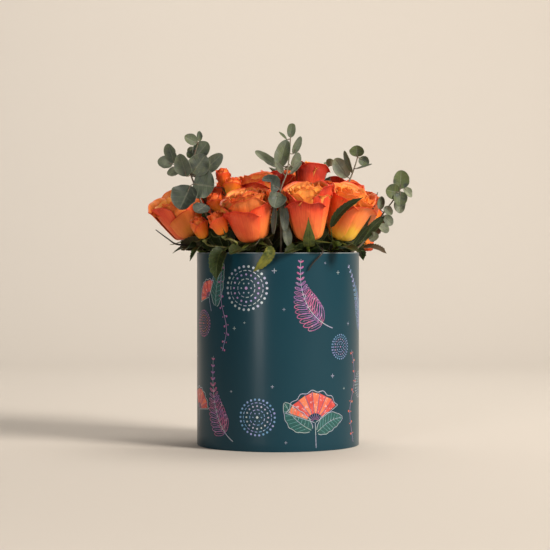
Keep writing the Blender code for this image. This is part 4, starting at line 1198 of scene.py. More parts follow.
@dataclass
class Rose:
    """The petals of one bloom, in layers about a rolled heart."""

    bloom: Bloom
    finish: bpy.types.Material
    record_slot: str
    node: str
    rows: int = 22
    columns: int = 19
    petal_thick: float = 0.0005
    shoulder: float = 0.11
    belly: float = 0.07
    neck: float = 0.10
    ruffle_out: float = 0.055
    ruffle_up: float = 0.040
    crimp: float = 0.022

    def rings(self) -> list[Ring]:
        """Its rings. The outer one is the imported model's own.

        Returns:
            The rings, from the outside in.
        """
        roll = self.bloom.roll
        if self.bloom.petals == 3:
            return [
                Ring(3, 1.0, 252.0, FOOT_START, 0.98, 0.06, 0.8 * roll, 0.16),
                Ring(4, 0.86, 230.0, 0.05, 1.08, 0.24, 0.9, 0.12),
                Ring(4, 0.68, 220.0, 0.10, 1.10, 0.42, 0.7, 0.10),
                Ring(3, 0.46, 220.0, 0.15, 1.08, 0.50, 0.5, 0.08),
            ]
        return [
            Ring(self.bloom.petals, 1.0, 252.0, FOOT_START, 1.0, 0.0, roll, 0.13),
            Ring(5, 0.88, 240.0, 0.03, 1.0, 0.02, 1.5, 0.11),
            Ring(5, 0.76, 235.0, 0.06, 1.01, 0.05, 1.2, 0.10),
            Ring(5, 0.63, 225.0, 0.09, 1.01, 0.10, 1.0, 0.09),
            Ring(4, 0.50, 220.0, 0.12, 1.0, 0.16, 0.8, 0.08),
            Ring(4, 0.38, 220.0, 0.15, 0.98, 0.20, 0.6, 0.07),
            Ring(3, 0.27, 220.0, 0.18, 0.95, 0.20, 0.5, 0.06),
        ]

    def lay(self, ring: Ring, index: int, u: Array) -> Array:
        """How far a petal's sides lie out, from -1 to 1. The first has both out, and the last both in."""
        left = 1.0 if index == 0 else -1.0
        right = -1.0 if index == ring.count - 1 else 1.0
        return np.where(u < 0.0, left, right) * np.abs(u)

    def edge_moves(self, ring: Ring, level: int, u: Array, t: Array, rim: Array,
                   seed: int) -> tuple[Array, Array]:
        """How far out and up its rolled rim and its ruffles move a petal's places.

        The last stretch before the rim turns outwards on an arc, whose length is kept. The ruffles are uneven
        waves that grow towards the rim and the sides.

        Args:
            ring: the petal's ring.
            level: the ring's number from the outside.
            u: each place's way across, from -1 to 1.
            t: its height, as a share of the bloom's.
            rim: the height of the rim over it.
            seed: the petal's seed.

        Returns:
            The moves out and up, in metres.
        """
        length = self.bloom.length
        zone = ring.reach * length * (1.0 + 0.35 * ripple(2.2 * u, 3, seed + 1))
        more_at_sides = 0.8 + 0.6 * smooth(np.abs(u), 0.5, 1.0)
        bend = ring.roll * (1.0 + 0.35 * ripple(2.6 * u, 3, seed + 2)) * more_at_sides
        within = np.clip(1.0 - (rim - t) * length / zone, 0.0, 1.0)
        arc = zone / bend

        depth = (0.75 if level == 0 else 1.5) * self.bloom.reach
        waves, quick = (4, 9.0) if level < 2 else (3, 5.0)
        lively = smooth(t, rim - 0.45, rim) * (0.35 + 0.65 * np.abs(u) ** 1.5)
        out = (self.ruffle_out * lively * ripple(4.5 * u + 1.5 * t, waves, seed + 3)
               + self.crimp * smooth(t, rim - 0.25, rim) * ripple(quick * u, 2, seed + 5))
        up = self.ruffle_up * lively * ripple(0.6 * quick * u, waves, seed + 4)
        return (0.8 * arc * (1.0 - np.cos(bend * within)) + depth * out,
                arc * np.sin(bend * within) - zone * within + depth * up)

    def petal(self, solid: Solid, ring: Ring, index: int, level: int) -> None:
        """Adds one petal: a strip of the cup with a ruffled rim that rolls outwards, and a soft fold up it.

        Its height t runs from its foot to its rim, which is lower at the shoulders, and u runs across it.

        Args:
            solid: what it is added to.
            ring: its ring.
            index: its number in the ring.
            level: the ring's number from the outside.
        """
        bloom, radius, length = self.bloom, self.bloom.reach, self.bloom.length
        seed = 1000 * bloom.seed + 50 * level + index
        draw = np.random.default_rng(seed)
        drop = draw.uniform(0.0, 0.08) if level else bloom.drops[index]
        jitter = draw.uniform(-0.25, 0.25) if level else 0.0
        crease, fold = draw.uniform(-0.5, 0.5), draw.uniform(0.01, 0.05)
        tone = np.clip(bloom.tone + draw.uniform(-0.25, 0.25), 0.0, 1.0)

        density = 1.0 if level < 2 else 0.7
        u = np.linspace(-1.0, 1.0, round(self.columns * density))[None, :]
        climb = np.linspace(0.0, 1.0, round(self.rows * density))[:, None]
        v = 1.0 - (1.0 - climb) ** 2 if level else 0.5 - 0.5 * np.cos(np.pi * climb)
        crown = bloom.crown - bloom.dome * (ring.share - 0.27) / 0.61 if level else 1.0
        rim = ring.top * crown - drop - self.shoulder * np.abs(u) ** 2.6 + 0.018 * ripple(2.5 * u, 3, seed)
        t = ring.start + v * (rim - ring.start)

        narrow_foot = 0.55 + 0.45 * np.sin(0.5 * np.pi * np.clip(t / 0.25, 0, 1))
        spread = math.radians(ring.cover / ring.count) * narrow_foot
        angle = (2.0 * math.pi * (index + 0.5 * (level % 2)) / ring.count + jitter + u * spread
                 + 0.03 * ripple(4.0 * t + 2.0 * u, 3, seed + 7))
        curl = bloom.flare * ring.share * rim_roll(t)
        rooted = 0.75 + 0.25 * smooth(t, ring.start, ring.start + 0.05)
        cup = (cup_share(t) + self.belly * np.sin(np.pi * np.clip(t / 0.92, 0, 1))
               - self.neck * smooth(t, 0.72, 1.0))
        share = (rooted * ring.share * cup * (1.0 - ring.close * smooth(t, 0.50, 1.0))
                 + PETAL_STEP * self.lay(ring, index, u) * (1.0 + 1.2 * smooth(t, 0.4, 0.95))
                 + FLARE_REACH * curl
                 - fold * np.exp(-((u - crease) / 0.2) ** 2) * smooth(t, 0.12, 0.5))
        out, up = self.edge_moves(ring, level, u, t, rim, seed)
        rho = radius * share + out
        height = length * (t - 0.05 * curl) + up
        grid = bloom.petal_world(about_axis(rho, angle, height))

        to_rim = (rim - t) * length
        to_side = (1.0 - np.abs(u)) * spread * np.maximum(rho, 0.1 * radius)
        edge = np.minimum(to_side + 0.03 * (1.0 - smooth(t, 0.3, 0.8)), to_rim) / (bloom.blush * MM)
        thickness = self.petal_thick * (0.55 + 0.45 * smooth(to_rim, 0.0, 0.0025))
        solid.add_sheet(grid, thickness, across=u, edge=edge, tone=tone,
                        along=t * bloom.fade + 0.45 * (1.0 - bloom.fade),
                        gold=bloom.gold * min(1.0, 0.5 + 0.2 * level) if level else 0.0)

    def heart(self, solid: Solid) -> None:
        """Adds the rolled heart: a sheet wound as a spiral, whose rim rises and falls a little.

        Args:
            solid: what it is added to.
        """
        bloom, radius, length = self.bloom, self.bloom.reach, self.bloom.length
        turns = np.linspace(0.0, 2.4 * 2.0 * np.pi, 48)[None, :]
        v = np.linspace(0.0, 1.0, 8)[:, None]
        top = 0.92 + 0.025 * ripple(turns * 0.8, 3, bloom.seed)
        t = 0.35 + v * (top - 0.35)
        rho = radius * (0.035 + 0.17 * turns / turns.max()) * (0.75 + 0.25 * v)
        grid = bloom.petal_world(about_axis(rho, turns, length * t))
        solid.add_sheet(grid, 0.8 * self.petal_thick, across=0.3 * np.sin(turns), along=t,
                        edge=(top - t) * length / MM, tone=bloom.tone, gold=1.0)

    def build(self) -> None:
        """Builds the bloom and hides the imported node that it stands for."""
        solid = Solid(f"{self.bloom.name}_petals", ("across", "along", "edge", "gold", "tone", "inside"))
        for level, ring in enumerate(self.rings()):
            for index in range(ring.count):
                self.petal(solid, ring, index, level)
        self.heart(solid)
        solid.make([self.finish], self.record_slot, self.node, sharp_deg=180.0)


# Leaves

class Outline(Enum):
    """The outline of a blade."""

    ROUND = "round"
    TOOTHED = "toothed"
    SEPAL = "sepal"
    BROAD = "broad"


@dataclass(frozen=True)
class Blade:
    """A leaf or sepal: its midrib's start, the point it bends towards and its tip, its width and its face.

    cup is how far its sides rise and wave how far its edge waves, as shares of its width. clear keeps it out
    of the blooms, and lifted keeps it over the foam and the drum's rim.
    """

    start: Array
    bend: Array
    tip: Array
    width: float
    face: Array
    outline: Outline
    cup: float
    tone: float = 0.5
    flush: float = 0.0
    wave: float = 0.03
    seed: int = 1
    clear: bool = True
    rows: int = 45
    columns: int = 9
    lifted: bool = False

    def half_shares(self, b: Array) -> Array:
        """Its half width: half an ellipse, a taper that swells, a skewed sine, or a sine with saw teeth.

        Args:
            b: the way along the midrib, from 0 to 1.

        Returns:
            The half width there, as a share of half its width.
        """
        if self.outline is Outline.ROUND:
            return np.maximum(np.sqrt(np.clip(4.0 * b ** 0.93 * (1.0 - b ** 0.93), 0.0, 1.0)), 0.04)
        if self.outline is Outline.SEPAL:
            return np.maximum((1.0 - b) ** 1.05 * (0.62 + 0.50 * smooth(b, 0.0, 0.30)), 0.03)
        if self.outline is Outline.BROAD:
            closed = np.clip((1.0 - b) / 0.3, 0.0, 1.0) ** 0.5
            return np.maximum(np.sin(np.pi * b ** 1.25) ** 0.7 * closed, 0.03)
        swell = np.sin(np.pi * (0.06 + 0.86 * b ** 0.85)) ** 0.8
        teeth = 1.0 + 0.17 * (np.mod(b * 11.0 + 0.5, 1.0) - 0.5) * smooth(b, 0.08, 0.2)
        close = smooth(b, 0.0, 0.10) * np.clip((1.0 - b) / 0.16, 0.0, 1.0) ** 0.8
        return np.maximum(swell * teeth * close, 0.05)

    def add_to(self, solid: Solid, slot: int) -> None:
        """Adds the blade as a thin closed sheet.

        The midrib is a quadratic arc. Across it, the blade rises by its cup with the square of the way out,
        folds a little at the midrib, and its edge waves.

        Args:
            solid: what it is added to.
            slot: its finish.
        """
        toothed = self.outline is Outline.TOOTHED
        rows, columns = (self.rows, self.columns) if toothed else (17, 11)
        line = np.linspace(0.0, 1.0, rows)
        b = (line if toothed else 0.5 - 0.5 * np.cos(np.pi * line))[:, None, None]
        a = np.linspace(-1.0, 1.0, columns)[None, :, None]
        middle = arc_place(b, self.start, self.bend, self.tip)
        along = arc_way(b, self.start, self.bend, self.tip)
        side = unit(np.cross(along, self.face))
        normal = np.cross(side, along)
        out = a * self.half_shares(b)
        wave = self.wave * ripple(7.0 * b[..., 0] + 1.5 * np.sign(a[..., 0]), 3, self.seed)[..., None]
        lift = self.cup * out ** 2 + 0.05 * np.abs(out) + wave * np.abs(out) ** 1.5
        grid = middle + side * out * 0.5 * self.width + normal * lift * self.width
        if self.clear:
            grid = bent_clear(grid.reshape(-1, 3), LEAF_CLEARANCE).reshape(grid.shape)
        if self.lifted:
            grid = over_rim(grid)
        solid.add_sheet(grid[:, ::-1], LEAF_THICK, slot, across=a[:, ::-1, 0], along=b[..., 0],
                        tone=self.tone, flush=self.flush)


def bent_clear(points: Array, spare: float) -> Array:
    """Each place, moved straight out of any bloom's cup that it would lie in or within spare of.

    Args:
        points: the places, n by 3.
        spare: how far they stay clear.

    Returns:
        The moved places.
    """
    for _ in range(3):
        for bloom in ROSES + BUDS:
            base, span = metres(bloom.base), bloom.axis
            t = (points - base) @ span / (span @ span)
            away = points - base - t[:, None] * span
            reach = np.maximum(np.linalg.norm(away, axis=1), 1e-9)
            inside = np.clip(t, 0.0, 1.0)
            share = cup_share(inside) + PETAL_STEP + FLARE_REACH * bloom.flare * rim_roll(inside)
            limit = bloom.reach * share + spare
            near = (t > -0.06) & (t < 1.07) & (reach < limit)
            points = points + np.where(near, limit - reach, 0.0)[:, None] * away / reach[:, None]
    return points


def over_rim(points: Array) -> Array:
    """Each place, lifted so that it clears the foam, and the drum's rim where it reaches that far out."""
    reach = np.hypot(points[..., 0], points[..., 1])
    least = FOAM_TOP + 0.002 + (BOX_HEIGHT - FOAM_TOP) * smooth(reach, 0.066, 0.080)
    return np.concatenate((points[..., :2], np.maximum(points[..., 2], least)[..., None]), -1)


def nearest_on(path: Array, point: Array) -> Array:
    """The place of a dense path that is nearest to point."""
    return path[np.linalg.norm(path - point, axis=1).argmin()]


def foam_entry(x: float, y: float) -> Array:
    """The place on the foam's top where a stem enters it, from millimetres."""
    return np.array((x * MM, y * MM, FOAM_TOP))


def foot_of(entry: Array) -> Array:
    """The lowest point of a stem that enters the foam at entry."""
    return np.array((entry[0] * FOOT_SPREAD, entry[1] * FOOT_SPREAD, FOAM_TOP - STEM_DEPTH))


# Rose stems

@dataclass(frozen=True)
class RoseLeaf:
    """A leaf of a rose stem: its stalk's places, where its midrib bends towards, its tip, width and face."""

    stalk: tuple[Place, ...]
    bend: Place
    tip: Place
    width: float
    yaw: float
    pitch: float
    tone: float = 0.4
    flush: float = 0.0
    reddish: bool = False


ROSE_LEAVES: dict[str, tuple[RoseLeaf, ...]] = {
    "front_left": (
        RoseLeaf(((-40, -60, 206), (-50, -70, 213), (-56, -74, 209)), (-64, -80, 208), (-64, -92, 178),
                 19, -20, 10, 0.32),
        RoseLeaf(((-20, -62, 206), (-18, -76, 212), (-12, -92, 213)), (-2, -98, 207), (-26, -92, 187),
                 12, 20, 20, 0.75, 0.65),
        RoseLeaf(((-26, -56, 209), (-34, -72, 210)), (-42, -90, 212), (-50, -97, 205), 15, -10, 40, 0.3),
    ),
    "left": (
        RoseLeaf(((-80, -14, 214), (-80, -52, 214)), (-84, -68, 214), (-92, -74, 198), 9, -50, 40, 0.3),
        RoseLeaf(((-76, -14, 211), (-88, -34, 212)), (-94, -52, 214), (-98, -68, 209), 15, -40, 30, 0.2),
    ),
    "front_right": (
        RoseLeaf(((28, -60, 210), (22, -74, 211)), (18, -88, 213), (6, -100, 206), 11, 10, 40, 0.2),
    ),
    "right_front": (
        RoseLeaf(((58, -50, 214), (55, -70, 232)), (60, -84, 252), (88, -84, 264), 9, 20, 30, 0.2),
        RoseLeaf(((56, -44, 209), (64, -66, 211)), (72, -80, 213), (84, -84, 208), 14, 40, 40, 0.25),
    ),
    "right": (
        RoseLeaf(((88, 0, 214), (96, -8, 222)), (106, -9, 229), (119, -6, 249), 10, 20, -20, 0.5, 0.8, True),
        RoseLeaf(((78, 2, 211), (90, -12, 212)), (104, -18, 214), (116, -20, 206), 13, 40, 50, 0.4, 0.5,
                 True),
    ),
    "right_back": (RoseLeaf(((76, 62, 212), (82, 66, 215)), (92, 76, 214), (96, 82, 198), 14, 150, 40),),
    "back": (
        RoseLeaf(((-24, 78, 212), (-28, 88, 214)), (-34, 100, 212), (-38, 100, 192), 15, 190, 30, 0.5),
        RoseLeaf(((-10, 62, 210), (-2, 80, 211)), (4, 96, 213), (4, 108, 206), 15, 180, 40, 0.3),
    ),
    "back_left": (RoseLeaf(((-62, 62, 212), (-70, 68, 214)), (-80, 78, 212), (-84, 78, 192), 15, 220, 30),),
    "left_back": (RoseLeaf(((-92, 14, 213),), (-102, 8, 214), (-114, 4, 206), 14, -80, 40),),
    "back_right": (RoseLeaf(((40, 74, 212), (46, 82, 214)), (54, 92, 213), (60, 92, 194), 14, 165, 35),),
}
# Bare tendrils: the radius at the root, and the places that each passes
TENDRILS: dict[str, tuple[float, tuple[Place, ...]]] = {
    "front_right": (1.5, ((28, -56, 208), (42, -68, 212), (46, -80, 207), (36, -84, 196), (31, -84, 188))),
    "left": (1.5, ((-82, -14, 213), (-98, -40, 215), (-108, -46, 216), (-117, -48, 222), (-129, -50, 231))),
}
GREEN_CHANNELS = ("across", "along", "tone", "flush", "inside")


@dataclass
class Greenery:
    """What the green pieces share: a piece of stems and blades, with its finishes in a fixed order."""

    finishes: Finishes

    def start(self, name: str) -> Solid:
        """An empty piece for stems, sepals and leaves."""
        return Solid(name, GREEN_CHANNELS)

    def palette(self, stem: bpy.types.Material) -> list[bpy.types.Material]:
        """The finishes of a rose's green: stem, leaf, flushed leaf and tendril."""
        return [stem, self.finishes.rose_leaf, self.finishes.flushed_leaf, self.finishes.tendril]

    def hip(self, solid: Solid, bloom: Bloom, run: Array, radii: Array, size: float) -> None:
        """Adds a stem that swells into a bloom's hip, and the sepals on it.

        Args:
            solid: what it is added to.
            bloom: the bloom that it carries.
            run: the stem's places up to the hip's foot.
            radii: the stem's radius at each.
            size: the hip's size as a share of a large rose's.
        """
        axis, base = unit(bloom.axis), metres(bloom.base)
        foot = base - axis * (HIP_GAP + size * HIP_HEIGHT)
        up = np.linspace(0.0, 1.0, 9)[1:]
        places = foot + up[:, None] * axis * size * HIP_HEIGHT
        bulge = smooth(up, 0.0, 0.7) * (1.0 - 0.10 * smooth(up, 0.8, 1.0))
        swell = radii[-1] + (size * HIP_RADIUS - radii[-1]) * bulge
        solid.add_tube(np.concatenate((run, places)), np.concatenate((radii, swell)), 12)
        level = -HIP_GAP + 0.0002
        half_turn = math.pi / len(bloom.lifts)
        for index, lift in enumerate(bloom.lifts):
            width = ((0.34 if size == 1.0 else 0.44) + 0.20 * smooth(lift, 0.8, 1.1)) * bloom.reach
            angle = 2.0 * half_turn * index
            out = bloom.axes @ about_axis(1.0, angle, 0.0)
            start = base + out * 0.45 * size * HIP_RADIUS + axis * level
            middle = (base + out * (0.52 * bloom.reach + 0.0030 + 0.0035 * lift)
                      + axis * (0.001 * lift - 0.0007 * (1.0 - lift)))
            tip = (base + out * (bloom.reach * (1.0 - 0.10 * lift) + 0.0030)
                   + axis * bloom.length * (0.50 * lift - 0.07))
            outline, cup = (Outline.BROAD, -0.06) if lift > 1.0 else (Outline.SEPAL, -0.16)
            Blade(start, 2.0 * middle - 0.5 * (start + tip), tip, width, unit(out - axis), outline, cup,
                  tone=0.55 + 0.25 * math.sin(7.0 * index + bloom.seed), flush=0.15, wave=0.04,
                  seed=bloom.seed + index, clear=False).add_to(solid, 1)

    def rose_leaf(self, solid: Solid, leaf: RoseLeaf, path: Array, seed: int) -> None:
        """Adds a rose leaf with its stalk.

        Args:
            solid: what it is added to.
            leaf: the leaf.
            path: its stem's path. The stalk starts from the nearest place of it.
            seed: fixes its wave.
        """
        places = metres(leaf.stalk)
        stalk = smooth_line([nearest_on(path, places[0]), *places], 12)
        slot = 2 if leaf.reddish else 1
        solid.add_tube(stalk, np.linspace(0.0008, 0.0006, 12), 6, slot, tone=0.7, along=0.5, across=0.5)
        Blade(places[-1], metres(leaf.bend), metres(leaf.tip), leaf.width * MM,
              face_vector(leaf.yaw, leaf.pitch), Outline.TOOTHED, cup=0.16, tone=leaf.tone, flush=leaf.flush,
              wave=0.05, seed=seed).add_to(solid, slot)


@dataclass
class RoseStem(Greenery):
    """A rose's stem, with its hip, sepals, leaves and any tendril."""

    bloom: Bloom

    def path(self) -> Array:
        """The stem: straight in the foam, then a cubic arc that meets the bloom's axis.

        Returns:
            Its places, from its foot to the hip.
        """
        share = INNER_ENTRY_SHARES.get(self.bloom.name, ENTRY_SHARE)
        entry = foam_entry(share * self.bloom.base[0], share * self.bloom.base[1])
        axis = unit(self.bloom.axis)
        hip = metres(self.bloom.base) - axis * (HIP_GAP + HIP_HEIGHT)
        pull = 0.35 * np.linalg.norm(hip - entry)
        low = entry + unit(entry - foot_of(entry)) * pull
        high = hip - axis * (0.25 * pull + 0.003)
        s = np.linspace(0.0, 1.0, 14)[:, None]
        arc = (1 - s) ** 3 * entry + 3 * s * (1 - s) ** 2 * low + 3 * s * s * (1 - s) * high + s ** 3 * hip
        return np.concatenate((foot_of(entry)[None], arc))

    def build(self) -> None:
        """Builds the stem and hides the imported node that it stands for."""
        path = self.path()
        solid = self.start(f"{self.bloom.name}_green")
        self.hip(solid, self.bloom, path, np.full(len(path), ROSE_STEM), 1.0)
        for number, leaf in enumerate(ROSE_LEAVES.get(self.bloom.name, ())):
            self.rose_leaf(solid, leaf, path, self.bloom.seed * 7 + number)
        if self.bloom.name in TENDRILS:
            radius, places = TENDRILS[self.bloom.name]
            line = smooth_line([nearest_on(path, metres(places[0])), *metres(places)], 30)
            solid.add_tube(line, radius * MM * np.sqrt(np.linspace(1.0, 0.12, 30)), 6, 3)
        solid.make(self.palette(self.finishes.rose_stem), "rose_green", f"{self.bloom.name}_stem")


# Leaves that stand between the stems: start, tip, width and yaw
STANDING_LEAVES: tuple[tuple[Place, Place, float, float], ...] = (
    ((-58, -42, 212), (-72, -47, 239), 18, 0), ((-52, -44, 210), (-56, -50, 236), 17, 10),
    ((-66, -40, 210), (-84, -44, 226), 16, -20), ((-4, -38, 210), (-6, -42, 240), 17, 0),
    ((4, -36, 208), (10, -38, 236), 16, 10), ((48, -44, 208), (50, -48, 234), 15, 10),
    ((72, -26, 208), (96, -24, 226), 15, 20), ((-84, -18, 211), (-104, -24, 216), 14, -30),
    ((84, -38, 216), (106, -36, 271), 7, 30), ((88, -32, 218), (114, -24, 246), 10, 20),
    ((80, -40, 213), (98, -44, 236), 8, 10), ((-78, -30, 213), (-104, -38, 213), 18, -20),
    ((-64, -34, 216), (-80, -38, 252), 15, -10), ((1, -30, 214), (1, -28, 254), 13, 5),
    ((-65, -42, 216), (-72, -44, 247), 14, 5),
)


@dataclass
class Undergrowth(Greenery):
    """Low leaves that fill the drum's mouth: some round each rose stem at drawn turns, and standing ones."""

    leaves_each: int = 12
    roots: tuple[float, float] = (0.192, 0.212)
    rises: tuple[float, float] = (0.05, 0.35)
    lengths: tuple[float, float] = (0.018, 0.026)
    widths: tuple[float, float] = (0.012, 0.018)
    seed: int = 77

    def leaf(self, solid: Solid, root: Array, start: Array, tip: Array, width: float, face: Array,
             draw: np.random.Generator) -> None:
        """Adds one leaf with its stalk, in a drawn tone.

        Args:
            solid: what it is added to.
            root: where its stalk leaves the stem.
            start: where its blade starts.
            tip: its tip.
            width: its width.
            face: the way it faces.
            draw: what the draws come from.
        """
        slot = 2 if draw.uniform() < 0.2 else 1
        stalk = over_rim(smooth_line([root, start, start + 0.1 * (tip - start)], 6))
        solid.add_tube(stalk, 0.0006, 5, slot, tone=0.3)
        Blade(start, 0.5 * (start + tip) + UP * 0.004, tip, width, face, Outline.TOOTHED, cup=0.14,
              tone=float(draw.uniform(0.0, 0.35)), wave=0.06, seed=int(draw.integers(9999)), rows=23,
              columns=5, lifted=True).add_to(solid, slot)

    def build(self) -> None:
        """Builds all of them as one piece. Those on a stem's inner side stand and close the view between."""
        draw = np.random.default_rng(self.seed)
        solid = self.start("undergrowth")
        paths = []
        for bloom in ROSES:
            path = RoseStem(self.finishes, bloom).path()
            paths.append(path)
            first = draw.uniform(0.0, 2.0 * np.pi)
            for number in range(self.leaves_each):
                turn = first + 2.0 * np.pi * (number + draw.uniform(-0.3, 0.3)) / self.leaves_each
                root = path[np.abs(path[:, 2] - draw.uniform(*self.roots)).argmin()]
                level = about_axis(1.0, turn, 0.0)
                inner = level @ unit(root * (1, 1, 0)) < 0.1
                out = level + UP * (draw.uniform(*self.rises) + (1.0 if inner else 0.0))
                start = root + out * 0.005
                tip = start + out * draw.uniform(*self.lengths) + UP * draw.uniform(-0.006, 0.002)
                outwards, upwards = (19.6, 0.2) if inner else (5.6, 0.5)
                face = unit(outwards * root * (1, 1, 0) + upwards * UP + 0.35 * draw.normal(size=3))
                self.leaf(solid, root, start, tip, draw.uniform(*self.widths), face, draw)
        stems = np.concatenate(paths)
        for start, tip, width, yaw in STANDING_LEAVES:
            self.leaf(solid, nearest_on(stems, metres(start)), metres(start), metres(tip), width * MM,
                      face_vector(yaw, 10.0), draw)
        solid.make(self.palette(self.finishes.rose_stem), "rose_green")


@dataclass(frozen=True)
class SprayPlan:
    """A spray: where its stem enters the foam, the places it passes, and its forks, each to one bud."""

    name: str
    entry: FlatPlace
    route: tuple[Place, ...]
    forks: tuple[tuple[int, tuple[Place, ...]], ...]


SPRAYS = (
    SprayPlan("left_spray", (-34, -42), route=(
        (-44, -50, 210), (-54, -42, 228), (-54, -34, 246), (-54, -32, 260)
    ), forks=(
        (0, ((-43, -52, 211), (-43, -80, 217), (-51, -80, 221))),
        (1, ((-54, -34, 243),)),
        (2, ((-54, -31, 262), (-55, -28, 268))),
        (3, ((-54, -34, 246), (-51, -40, 256))),
        (4, ((-46, -50, 211), (-70, -46, 214))),
    )),
    SprayPlan("right_spray", (60, 26), route=(
        (78, 31, 211), (86, 36, 218)
    ), forks=(
        (5, ((78, 31, 211), (81, 30, 219))),
        (6, ((86, 36, 218), (94, 41, 228))),
    )),
)


@dataclass
class Spray(Greenery):
    """The forked stem of a spray, with the hip and sepals of each of its small roses."""

    plan: SprayPlan

    def build(self) -> None:
        """Builds the stem and its forks, and hides the imported node that they stand for."""
        entry = foam_entry(*self.plan.entry)
        path = smooth_line([foot_of(entry), entry, *metres(self.plan.route)], 40)
        solid = self.start(f"{self.plan.name}_green")
        solid.add_tube(path, np.linspace(SPRAY_STEM, 0.7 * SPRAY_STEM, len(path)), 10)
        for number, places in self.plan.forks:
            bloom = BUDS[number]
            hip_foot = metres(bloom.base) - unit(bloom.axis) * (HIP_GAP + SMALL_HIP * HIP_HEIGHT)
            root = nearest_on(path, metres(places[0]))
            run = smooth_line([root, *metres(places[1:]), hip_foot], 18)
            self.hip(solid, bloom, run, np.linspace(FORK_STEM, 0.85 * FORK_STEM, len(run)), SMALL_HIP)
        solid.make(self.palette(self.finishes.spray_stem), "rose_green", self.plan.name)


# Eucalyptus

# A leaf's start, tip, width, face, paleness (in part painted light and shade) and olive flush
LaidLeaf = tuple[Array, Array, float, Array, float, float]


@dataclass(frozen=True)
class Leaf:
    """A eucalyptus leaf: where its blade starts, its tip, its width and its face's yaw and pitch.

    pale is added to its branch's tone, and olive is how far it is flushed with olive. pale is in part
    painted light and shade: below 0 it darkens leaves that hang low in the bouquet's shade, and its 0.8 on
    the right branch's front leaf lifts that leaf out of a neighbour's shadow.
    """

    start: Place
    tip: Place
    width: float
    yaw: float
    pitch: float
    pale: float = 0.0
    olive: float = 0.0


@dataclass(frozen=True)
class Branch:
    """A branch: where it enters the foam, the places its stem passes, its twigs, its leaves and their tone.

    A branch without leaves of its own gets them in pairs, with widths from the first pair to the last.
    """

    name: str
    entry: FlatPlace
    route: tuple[Place, ...]
    twigs: tuple[tuple[Place, ...], ...] = ()
    leaves: tuple[Leaf, ...] = ()
    tone: float = 0.4
    pairs: int = 0
    widths: tuple[float, float] = (20.0, 9.0)
    seed: int = 1


